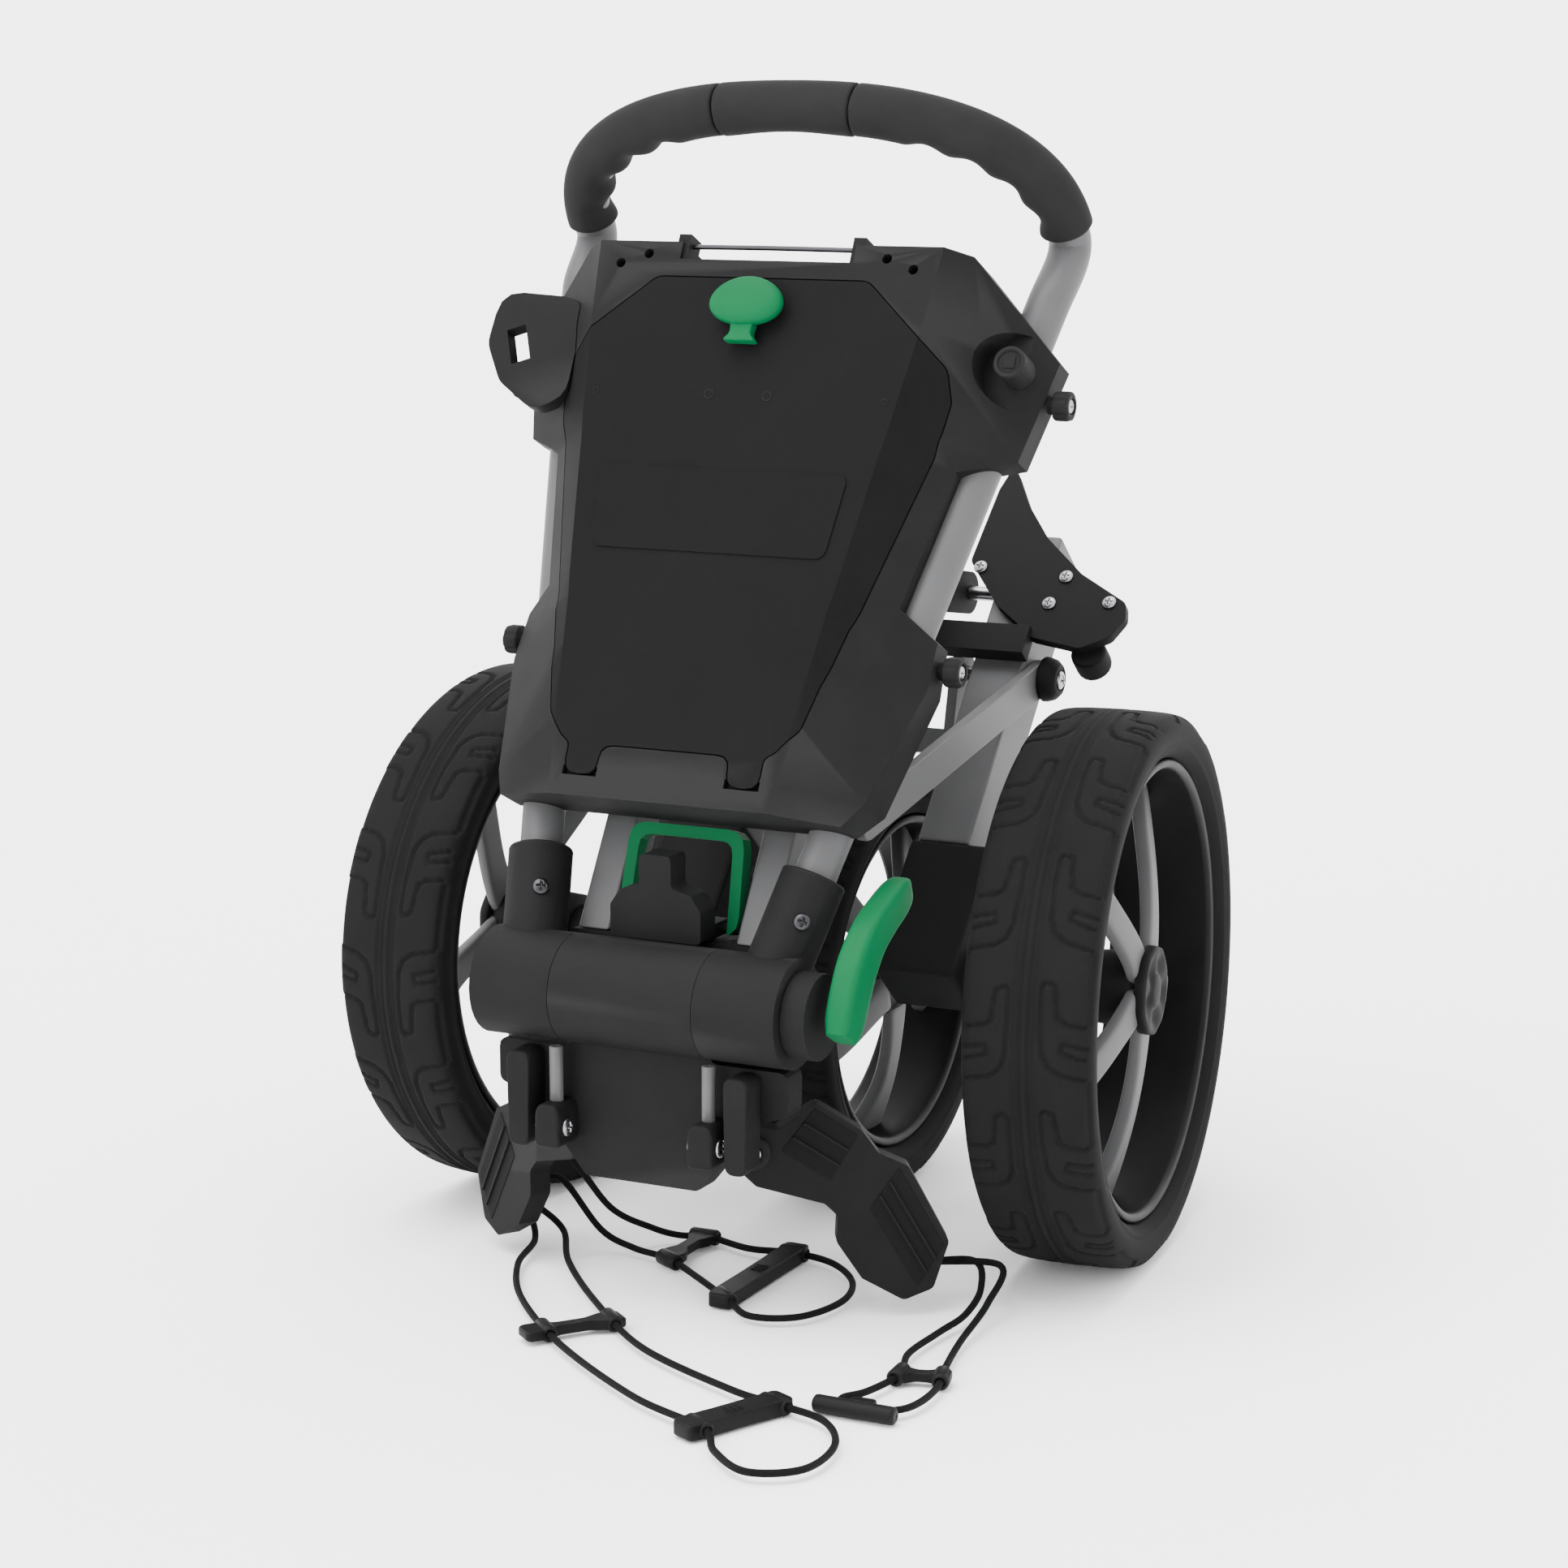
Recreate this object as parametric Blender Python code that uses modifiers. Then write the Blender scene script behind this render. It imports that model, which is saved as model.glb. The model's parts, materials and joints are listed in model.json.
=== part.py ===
"""Folding three-wheel golf push cart, folded flat on its wheels.

Metres, +Z up, the floor at Z = 0, the front (the console's side) towards -Y.
Stations are written relative to the rear axle line on the floor and moved to
the part's frame by place(). Right-hand pieces are modelled and mirrored.
"""

import math

import bmesh
import bpy
from mathutils import Matrix, Vector

GAP = 0.0003  # running gap between touching pieces
AXLE_Y = 0.01775  # rear axle line, behind the middle of the folded depth

# Wheels
REAR_RADIUS = 0.146
REAR_WIDTH = 0.068
REAR_HALF_TRACK = 0.1695
REAR_TOE = math.radians(5.4)
FRONT_RADIUS = 0.118
FRONT_WIDTH = 0.060
FRONT_AXLE = Vector((0, 0.068, FRONT_RADIUS))
TYRE_SECTION = 0.0245  # tread to rim seat
RIM_WALL = 0.0045
HUB_RADIUS = 0.020
AXLE_RADIUS = 0.006
SPOKES = 5

# Handle hinge, at the foot of the folded cart
HINGE = Vector((0, -0.194, 0.166))
BARREL_RADIUS = 0.0275
BARREL_SEAM = 0.040
BARREL_END = 0.085
BOLT_RADIUS = 0.004

# Handle tube
TUBE_RADIUS = 0.011
TUBE_SIDES = 10  # sides of a bent tube at a bevel resolution of 3
SLEEVE_RADIUS = 0.0165
SLEEVE_LENGTH = 0.070
TUBE_FOOT = Vector((0.0646, -0.194, 0.166))
TUBE_SLOPE = Vector((0.2125, 0.557, 1.0)).normalized()
TUBE_START = 0.020  # up the slope, where the tube seats in its sleeve
TUBE_BEND = 0.390  # up the slope, where the loop begins to bend
LOOP_FOOT = Vector((0, 0.013, 0.535))
LOOP_UP = Vector((0, -0.5623, 0.8269))
LOOP_HALF_WIDTH = 0.1385
LOOP_RISE = 0.0783
LOOP_POWER = 2.4
GRIP_RADIUS = 0.0138
GRIP_SEAM = 0.0385  # half width of the middle grip
GRIP_GAP = 0.0008
GRIP_START = 0.005  # bare tube between the loop's foot and the grips

# Console, in its own frame: x across, s up the face, d back from the face
CONSOLE_FOOT = Vector((0, -0.1819, 0.2615))
CONSOLE_LEAN = math.radians(25.4)
LID_THICKNESS = 0.003
LID_GAP = 0.0006
LID_HINGE = (0.013, -0.0015)  # s and height of the lid's hinge line
POCKET_INSET = 0.010
POCKET_DEPTH = 0.030
CLIP_HALF = 0.0465  # half the span of the wire clip

# Rear legs, in their own frame: x across, u up the leg, w out of its front face
LEG_FOOT = Vector((0.068, 0.032, 0.199))
LEG_SLOPE = Vector((0, 0.651, 0.759)).normalized()
LEG_WIDTH = 0.030
LEG_DEPTH = 0.036
LEG_LENGTH = 0.200
FOLD_PIN_U = 0.170
FORK_PIN_U = 0.117
PIN_RADIUS = 0.004
BRACKET_THICKNESS = 0.006

# Frame rails behind the console
RAIL_X = 0.045
RAIL_WIDTH = 0.018
RAIL_DEPTH = 0.024
RAIL_FOOT = Vector((RAIL_X, -0.1505, 0.190))
RAIL_SLOPE = Vector((0, 0.6, 1.0)).normalized()
RAIL_LENGTH = 0.198

# Fork of the folded front wheel
BLADE_INNER = 0.037
BLADE_THICKNESS = 0.006
BLADE_WIDTH = 0.022

# Bag wings, in their own frame: u out along the wing, v up it, n out of its face
WING_ROOT = Vector((0.050, -0.178, 0.084))
WING_ALONG = Vector((0.682, 0.379, -0.623)).normalized()
WING_THICKNESS = 0.012

# Elastic bungees
CORD_RADIUS = 0.0018
CORD_FLOOR = 0.0045  # height of a lying cord's centre
CORD_CLEAR = 0.0005

CART = bpy.data.collections.new("folding_golf_cart")


def clear_scene():
    """Remove every object and link the cart's collection."""
    for obj in list(bpy.data.objects):
        bpy.data.objects.remove(obj, do_unlink=True)
    bpy.context.scene.collection.children.link(CART)


def place(point):
    """A station relative to the axle line, in the part's frame."""
    return Vector(point) + Vector((0, AXLE_Y, 0))


def paint(name, colour, roughness, metallic=0.0):
    """A plain Principled BSDF material."""
    material = bpy.data.materials.new(name)
    material.use_nodes = True
    shader = material.node_tree.nodes["Principled BSDF"]
    shader.inputs["Base Color"].default_value = (*colour, 1)
    shader.inputs["Roughness"].default_value = roughness
    shader.inputs["Metallic"].default_value = metallic
    return material


PLASTIC = paint("charcoal_plastic", (0.036, 0.036, 0.037), 0.55)
LID_PLASTIC = paint("lid_plastic", (0.024, 0.024, 0.025), 0.5)
GREY_METAL = paint("grey_tube", (0.19, 0.19, 0.195), 0.4, 0.6)
STEEL = paint("bright_steel", (0.55, 0.55, 0.56), 0.3, 1.0)
RUBBER = paint("tyre_rubber", (0.03, 0.03, 0.031), 0.8)
FOAM = paint("grip_foam", (0.04, 0.04, 0.041), 0.85)
GREEN = paint("green_plastic", (0.013, 0.33, 0.12), 0.4)
RIM_PLASTIC = paint("rim_plastic", (0.16, 0.16, 0.165), 0.5)
NET = paint("black_net", (0.012, 0.012, 0.012), 0.9)
ELASTIC = paint("black_elastic", (0.012, 0.012, 0.012), 0.8)


def add(name, mesh, material):
    """A mesh object in the cart's collection, shaded smooth where it is round."""
    obj = bpy.data.objects.new(name, mesh)
    mesh.materials.clear()
    mesh.materials.append(material)
    mesh.shade_smooth()
    mesh.set_sharp_from_angle(angle=math.radians(35))
    CART.objects.link(obj)
    return obj


def from_bmesh(name, bm, material):
    """Finish a bmesh as an object with its faces pointing out."""
    bmesh.ops.recalc_face_normals(bm, faces=bm.faces)
    if bm.calc_volume(signed=True) < 0:
        bmesh.ops.reverse_faces(bm, faces=bm.faces)
    mesh = bpy.data.meshes.new(name)
    bm.to_mesh(mesh)
    bm.free()
    return add(name, mesh, material)


def frame_of(origin, x_axis, y_axis, z_axis):
    """The matrix of a local frame given by its origin and three unit axes."""
    columns = Matrix((x_axis, y_axis, z_axis)).transposed()
    return Matrix.Translation(origin) @ columns.to_4x4()


def block(name, low, high, material, frame=None, bevel=0.0):
    """A box between two corners of a local frame, its edges rounded by bevel."""
    bm = bmesh.new()
    low, high = Vector(low), Vector(high)
    size = high - low
    fit = Matrix.Translation((low + high) / 2) @ Matrix.Diagonal((*size, 1))
    bmesh.ops.create_cube(bm, size=1, matrix=fit)
    if bevel:
        bmesh.ops.bevel(
            bm, geom=bm.edges, offset=bevel, segments=2, profile=0.5, affect="EDGES"
        )
    bm.transform(frame or Matrix())
    return from_bmesh(name, bm, material)


def rod(name, start, end, radius, material, sides=24, end_radius=None):
    """A round bar or cone between two points."""
    start, end = Vector(start), Vector(end)
    turn = (end - start).to_track_quat("Z", "Y").to_matrix().to_4x4()
    bm = bmesh.new()
    bmesh.ops.create_cone(
        bm,
        cap_ends=True,
        segments=sides,
        radius1=radius,
        radius2=radius if end_radius is None else end_radius,
        depth=(end - start).length,
        matrix=Matrix.Translation((start + end) / 2) @ turn,
    )
    return from_bmesh(name, bm, material)


def rounded(corners, radius, steps=3):
    """An outline with each corner replaced by an arc of at most this radius."""
    points = []
    for i, corner in enumerate(corners):
        corner = Vector(corner)
        before = Vector(corners[i - 1]) - corner
        after = Vector(corners[(i + 1) % len(corners)]) - corner
        angle = before.angle(after)
        reach = radius / math.tan(angle / 2)
        reach = min(reach, 0.45 * before.length, 0.45 * after.length)
        first = corner + before.normalized() * reach
        last = corner + after.normalized() * reach
        for step in range(steps + 1):
            t = step / steps
            points.append(first * (1 - t) ** 2 + corner * 2 * t * (1 - t) + last * t**2)
    return points


def grown(outline, distance):
    """A counter-clockwise outline with every side moved outwards by a distance."""
    points = []
    for i, corner in enumerate(outline):
        corner = Vector(corner)
        before = (corner - Vector(outline[i - 1])).normalized()
        after = (Vector(outline[(i + 1) % len(outline)]) - corner).normalized()
        out = Vector((before.y, -before.x)) + Vector((after.y, -after.x))
        points.append(corner + out * (distance / (1 + before.dot(after))))
    return points


def plate(name, outline, low, high, frame, material):
    """A flat outline, extruded between two heights along the frame's third axis."""
    curve = bpy.data.curves.new(name, "CURVE")
    curve.dimensions = "2D"
    curve.fill_mode = "BOTH"
    curve.extrude = (high - low) / 2
    spline = curve.splines.new("POLY")
    spline.points.add(len(outline) - 1)
    for point, (x, y) in zip(spline.points, outline, strict=True):
        point.co = (x, y, 0, 1)
    spline.use_cyclic_u = True
    lift = Matrix.Translation((0, 0, (low + high) / 2))
    return as_mesh(bpy.data.objects.new(name, curve), frame @ lift, material)


def tube(name, points, radius, material, resolution=3, frame=None):
    """A round bar that follows a list of points."""
    curve = bpy.data.curves.new(name, "CURVE")
    curve.dimensions = "3D"
    curve.bevel_depth = radius
    curve.bevel_resolution = resolution
    curve.use_fill_caps = True
    spline = curve.splines.new("POLY")
    spline.points.add(len(points) - 1)
    for point, co in zip(spline.points, points, strict=True):
        point.co = (*co, 1)
    return as_mesh(bpy.data.objects.new(name, curve), frame or Matrix(), material)


def as_mesh(curve_object, matrix, material):
    """Turn a curve object into a welded mesh object of the same name."""
    CART.objects.link(curve_object)
    name = curve_object.name
    graph = bpy.context.evaluated_depsgraph_get()
    mesh = bpy.data.meshes.new_from_object(curve_object.evaluated_get(graph))
    bpy.data.objects.remove(curve_object)
    bm = bmesh.new()
    bm.from_mesh(mesh)
    bmesh.ops.remove_doubles(bm, verts=bm.verts, dist=1e-6)
    bm.transform(matrix)
    return from_bmesh(name, bm, material)


def turned(name, profile, frame, material, steps=48):
    """A closed profile of (along, radius) points turned about the frame's X axis."""
    mesh = bpy.data.meshes.new(name)
    points = [(along, radius, 0) for along, radius in profile]
    edges = [(i, (i + 1) % len(points)) for i in range(len(points))]
    mesh.from_pydata(points, edges, [])
    obj = add(name, mesh, material)
    screw = obj.modifiers.new("turn", "SCREW")
    screw.axis = "X"
    screw.steps = steps
    screw.render_steps = steps
    screw.use_merge_vertices = True
    screw.merge_threshold = 1e-6
    bake(obj)
    bm = bmesh.new()
    bm.from_mesh(obj.data)
    bmesh.ops.remove_doubles(bm, verts=bm.verts, dist=1e-6)
    bmesh.ops.recalc_face_normals(bm, faces=bm.faces)
    bm.transform(frame)
    bm.to_mesh(obj.data)
    bm.free()
    return obj


def bake(obj):
    """Put an object's evaluated shape in its mesh and clear its modifiers."""
    graph = bpy.context.evaluated_depsgraph_get()
    mesh = bpy.data.meshes.new_from_object(obj.evaluated_get(graph))
    obj.modifiers.clear()
    obj.data = mesh
    mesh.set_sharp_from_angle(angle=math.radians(35))


def combine(obj, operation, *tools):
    """Join, cut or intersect an object with others, which are used up."""
    for other in tools:
        modifier = obj.modifiers.new(other.name, "BOOLEAN")
        modifier.operation = operation
        modifier.object = other
    bake(obj)
    for other in tools:
        bpy.data.objects.remove(other)
    return obj


def join(obj, *tools):
    """Union an object with others."""
    return combine(obj, "UNION", *tools)


def cut(obj, *tools):
    """Remove others from an object."""
    return combine(obj, "DIFFERENCE", *tools)


def copied(obj, name, offset=(0, 0, 0)):
    """A copy of an object's shape, moved by an offset."""
    mesh = obj.data.copy()
    mesh.transform(Matrix.Translation(offset))
    return add(name, mesh, obj.data.materials[0])


def mirrored(obj, name):
    """The left-hand twin of a right-hand piece."""
    bm = bmesh.new()
    bm.from_mesh(obj.data)
    bm.transform(Matrix.Scale(-1, 4, (1, 0, 0)))
    bmesh.ops.reverse_faces(bm, faces=bm.faces)
    return from_bmesh(name, bm, obj.data.materials[0])


def set_origin(obj, point):
    """Put an object's origin on its joint, leaving its shape where it is."""
    obj.data.transform(Matrix.Translation(-Vector(point)))
    obj.location = point


# --- Frames of the sub-assemblies -------------------------------------------

CONSOLE_UP = Vector((0, math.sin(CONSOLE_LEAN), math.cos(CONSOLE_LEAN)))
CONSOLE_OUT = Vector((0, -math.cos(CONSOLE_LEAN), math.sin(CONSOLE_LEAN)))
CONSOLE = frame_of(place(CONSOLE_FOOT), Vector((1, 0, 0)), CONSOLE_UP, CONSOLE_OUT)
LEG_OUT = Vector((0, -LEG_SLOPE.z, LEG_SLOPE.y))
LEG = frame_of(place((0, *LEG_FOOT.yz)), Vector((1, 0, 0)), LEG_SLOPE, LEG_OUT)
WING_FACE = Vector((0.5, -0.866, 0.02))
WING_FACE = (WING_FACE - WING_ALONG * WING_FACE.dot(WING_ALONG)).normalized()
WING_UP = WING_FACE.cross(WING_ALONG)
WING = frame_of(place(WING_ROOT), WING_ALONG, WING_UP, WING_FACE)
FOLD_AXIS = LEG @ Vector((0, FOLD_PIN_U, 0))
FORK_AXIS = LEG @ Vector((0, FORK_PIN_U, 0))
BARREL = place(HINGE)


def across(point, x):
    """A point moved to a given x."""
    return Vector((x, point[1], point[2]))


# --- Handle ------------------------------------------------------------------


def tube_point(distance):
    """A point of the right handle tube, at a distance up its straight part."""
    return place(TUBE_FOOT) + TUBE_SLOPE * distance


def loop_curve():
    """A dense run of the handle loop, a leaning superellipse from right to left."""
    points = []
    for i in range(401):
        angle = math.pi * i / 400
        c, s = math.cos(angle), math.sin(angle)
        x = LOOP_HALF_WIDTH * math.copysign(abs(c) ** (2 / LOOP_POWER), c)
        rise = LOOP_RISE * max(s, 0) ** (2 / LOOP_POWER)
        points.append(place(LOOP_FOOT) + Vector((x, 0, 0)) + LOOP_UP * rise)
    return points


def run_along(points, start, end, count):
    """Evenly spaced points of a dense run, between two distances along it."""
    lengths = [0.0]
    for a, b in zip(points, points[1:], strict=False):
        lengths.append(lengths[-1] + (b - a).length)
    found, i = [], 1
    for step in range(count + 1):
        wanted = min(start + (end - start) * step / count, lengths[-1])
        while lengths[i] < wanted:
            i += 1
        t = (wanted - lengths[i - 1]) / (lengths[i] - lengths[i - 1])
        found.append(points[i - 1].lerp(points[i], t))
    return found


def grip_runs():
    """The three stretches of the loop that the grips cover, from right to left."""
    curve = loop_curve()
    total = sum((b - a).length for a, b in zip(curve, curve[1:], strict=False))
    seam = total / 2 - GRIP_SEAM
    return {
        "grip_right": run_along(curve, GRIP_START, seam - GRIP_GAP / 2, 12),
        "grip_middle": run_along(curve, seam + GRIP_GAP / 2, total - seam - GRIP_GAP / 2, 7),
        "grip_left": run_along(curve, total - seam + GRIP_GAP / 2, total - GRIP_START, 12),
    }


def bend_points(start, start_way, end, end_way, count):
    """Points between two ends of a cubic that leaves and arrives along two ways."""
    reach = (end - start).length / 3
    a, b = start + start_way * reach, end - end_way * reach
    points = []
    for i in range(1, count):
        t = i / count
        u = 1 - t
        points.append(start * u**3 + a * 3 * t * u * u + b * 3 * t * t * u + end * t**3)
    return points


def handle_path():
    """The handle tube's centre line, from the right sleeve over to the left one."""
    loop = [point for run in grip_runs().values() for point in run]
    right = [tube_point(TUBE_START), tube_point(TUBE_BEND)]
    foot = loop_curve()[0]
    right += [*bend_points(right[-1], TUBE_SLOPE, foot, LOOP_UP, 5), foot]
    left = [Vector((-p.x, p.y, p.z)) for p in reversed(right)]
    return right + loop + left


def beyond(points, reach):
    """A path stretched at both ends, so that a cutter clears a piece's faces."""
    first = points[0] + (points[0] - points[1]).normalized() * reach
    last = points[-1] + (points[-1] - points[-2]).normalized() * reach
    return [first, *points[1:-1], last]


def make_handle():
    """The bent handle tube and its three foam grips."""
    tube("handle_tube", handle_path(), TUBE_RADIUS, GREY_METAL)
    for name, run in grip_runs().items():
        grip = tube(name, run, GRIP_RADIUS, FOAM)
        bore_radius = TUBE_RADIUS / math.cos(math.pi / TUBE_SIDES) + GAP
        cut(grip, tube("bore", beyond(run, 0.01), bore_radius, FOAM))


def make_handle_joint():
    """Outer hinge knuckles with the sleeves that the handle tube seats in."""
    start = across(BARREL, BARREL_SEAM + GAP)
    right = rod("handle_joint_right", start, across(BARREL, BARREL_END), BARREL_RADIUS, PLASTIC, 32)
    sleeve_end = tube_point(SLEEVE_LENGTH)
    join(right, rod("sleeve", tube_point(0), sleeve_end, SLEEVE_RADIUS, PLASTIC, 28))
    seat = rod("seat", tube_point(TUBE_START - GAP), tube_point(0.2), TUBE_RADIUS + GAP, PLASTIC)
    bore = rod("bore", across(BARREL, 0), across(BARREL, 0.12), BOLT_RADIUS + GAP, PLASTIC)
    cut(right, seat, bore)
    mirrored(right, "handle_joint_left")


# --- Console -----------------------------------------------------------------

# s up the face: half width of the face, half width at the back, bevel depth, total depth
CONSOLE_SECTIONS = (
    (0.000, 0.060, 0.096, 0.014, 0.036),
    (0.014, 0.063, 0.1035, 0.020, 0.047),
    (0.078, 0.070, 0.118, 0.036, 0.054),
    (0.104, 0.073, 0.117, 0.040, 0.054),
    (0.116, 0.075, 0.100, 0.025, 0.044),
    (0.190, 0.085, 0.114, 0.029, 0.044),
    (0.202, 0.087, 0.140, 0.044, 0.058),
    (0.256, 0.094, 0.152, 0.046, 0.060),
    (0.2985, 0.098, 0.110, 0.012, 0.040),
)
LID_HALF = (
    (0.060, 0.279),
    (0.1065, 0.238),
    (0.1100, 0.222),
    (0.1080, 0.206),
    (0.0700, 0.0435),
    (0.0600, 0.031),
    (0.0545, 0.0275),
    (0.0545, 0.0115),
    (0.0365, 0.0115),
    (0.0365, 0.0275),
)


def console_solid(name, material):
    """The console's outer form: a flat face with bevelled sides, lofted up its length."""
    bm = bmesh.new()
    rings = []
    for s, face, half, bevel, depth in CONSOLE_SECTIONS:
        half_ring = [(face, 0), (half, -bevel), (half, -depth)]
        ring = half_ring + [(-x, d) for x, d in reversed(half_ring)]
        rings.append([bm.verts.new((x, s, d)) for x, d in ring])
    for lower, upper in zip(rings, rings[1:], strict=False):
        for i in range(len(lower)):
            j = (i + 1) % len(lower)
            bm.faces.new((lower[i], lower[j], upper[j], upper[i]))
    bm.faces.new(rings[0])
    bm.faces.new(reversed(rings[-1]))
    bmesh.ops.triangulate(bm, faces=bm.faces)
    bm.transform(CONSOLE)
    return from_bmesh(name, bm, material)


def lid_outline(grow):
    """The lid's rounded outline, grown outwards by a distance."""
    whole = [(-x, s) for x, s in LID_HALF] + [(x, s) for x, s in reversed(LID_HALF)]
    return rounded(grown(whole, grow), 0.010 + max(grow, 0))


def lid_prism(name, grow, low, high):
    """The lid's outline as a block through the console's face."""
    return plate(name, lid_outline(grow), low, high, CONSOLE, PLASTIC)


def tee_holes():
    """Cutters for the four tee holders along the console's top edge."""
    holes = []
    for x, s in ((0.0680, 0.2915), (0.0835, 0.2860)):
        for side in (-1, 1):
            top, foot = Vector((side * x, s, 0.01)), Vector((side * x, s, -0.05))
            holes.append(rod("tee", CONSOLE @ foot, CONSOLE @ top, 0.0027, PLASTIC, 12))
    return holes


def tube_channels(radius):
    """Cutters for the two handle tubes, where they run through the console."""
    start, end = tube_point(0.07), tube_point(TUBE_BEND)
    right = rod("channel", start, end, radius, PLASTIC)
    left = rod("channel_left", across(start, -start.x), across(end, -end.x), radius, PLASTIC)
    return [right, left]


def make_console():
    """The console tray with its storage pocket, and the lid that closes it."""
    console = console_solid("console", PLASTIC)
    sunk = copied(console, "sunk", -CONSOLE_OUT * (LID_THICKNESS + GAP))
    recess = cut(lid_prism("recess", LID_GAP, -0.08, 0.02), sunk)
    pocket = lid_prism("pocket", -POCKET_INSET, -POCKET_DEPTH, 0.02)
    trim = block("trim", (-0.2, -0.1, -0.2), (0.2, 0.042, 0.2), PLASTIC, CONSOLE)
    cut(pocket, trim)
    notch = block("notch", (-0.0495, 0.289, -0.03), (0.0495, 0.33, 0.02), PLASTIC, CONSOLE)
    bowl_centre = CONSOLE @ Vector((0.136, 0.246, -0.012))
    bowl = rod("bowl", bowl_centre - CONSOLE_OUT * 0.024, bowl_centre + CONSOLE_OUT * 0.04, 0.0200, PLASTIC, 28)
    cut(console, recess, pocket, notch, bowl, *tee_holes(), *tube_channels(TUBE_RADIUS + GAP))
    for low, high in ((-0.0552, -0.0358), (0.0358, 0.0552)):
        ends = [CONSOLE @ Vector((x, *LID_HINGE)) for x in (low, high)]
        cut(console, rod("hinge_relief", *ends, 0.0029, PLASTIC, 16))
    bosses = []
    for side in (-1, 1):
        low, high = sorted((side * CLIP_HALF, side * 0.0535))
        bosses.append(block("boss", (low, 0.287, -0.014), (high, 0.3035, -0.002), PLASTIC, CONSOLE))
    join(console, *bosses)
    post_foot = bowl_centre - CONSOLE_OUT * (0.024 - GAP)
    rod("accessory_post", post_foot, post_foot + CONSOLE_OUT * 0.016, 0.0085, PLASTIC, 20)

    lid = lid_prism("lid", 0.0, -0.08, 0.02)
    outer = console_solid("outer", PLASTIC)
    under = copied(outer, "under", -CONSOLE_OUT * LID_THICKNESS)
    combine(lid, "INTERSECT", outer)
    cut(lid, under)
    lid.data.materials[0] = LID_PLASTIC
    set_origin(lid, CONSOLE @ Vector((0, *LID_HINGE)))


def make_console_fittings():
    """The wire clip, the side clamp knobs, the accessory ear and the net gussets."""
    ends = [CONSOLE @ Vector((x, 0.2985, -0.007)) for x in (GAP - CLIP_HALF, CLIP_HALF - GAP)]
    rod("clip_wire", *ends, 0.0014, STEEL, 12)
    for name, s, d, half in (("upper", 0.235, -0.050, 0.1485), ("lower", 0.0915, -0.047, 0.118)):
        seat = CONSOLE @ Vector((half + GAP, s, d))
        knob = rod(f"clamp_knob_{name}_right", seat, across(seat, half + 0.005), 0.0045, PLASTIC, 16)
        head = rod("head", across(seat, half + 0.004), across(seat, half + 0.0125), 0.0078, PLASTIC, 12)
        join(knob, head)
        mirrored(knob, f"clamp_knob_{name}_left")

    ear_outline = rounded(
        [(-0.106, 0.270), (-0.158, 0.273), (-0.160, 0.243), (-0.148, 0.222), (-0.124, 0.206), (-0.106, 0.216)],
        0.014,
    )
    ear = plate("accessory_ear", ear_outline, -0.020, -0.011, CONSOLE, PLASTIC)
    foot = block("foot", (-0.138, 0.220, -0.040), (-0.108, 0.262, -0.011), PLASTIC, CONSOLE)
    slot_frame = CONSOLE @ Matrix.Translation((-0.141, 0.243, 0)) @ Matrix.Rotation(math.radians(20), 4, "Z")
    slot = block("slot", (-0.0055, -0.0100, -0.05), (0.0055, 0.0100, 0.02), PLASTIC, slot_frame)
    join(ear, foot)
    cut(ear, slot, copied(console_solid("grown", PLASTIC), "grown_up", CONSOLE_OUT * 2 * GAP))
    bpy.data.objects.remove(bpy.data.objects["grown"])


def make_net():
    """A storage net's frame panel between the handle tubes, behind the console."""
    outline = rounded([(-0.084, 0.096), (0.084, 0.096), (0.101, 0.184), (-0.101, 0.184)], 0.008)
    plate("storage_net", outline, -0.0600, -0.0576, CONSOLE, NET)


# --- Frame -------------------------------------------------------------------


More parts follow.
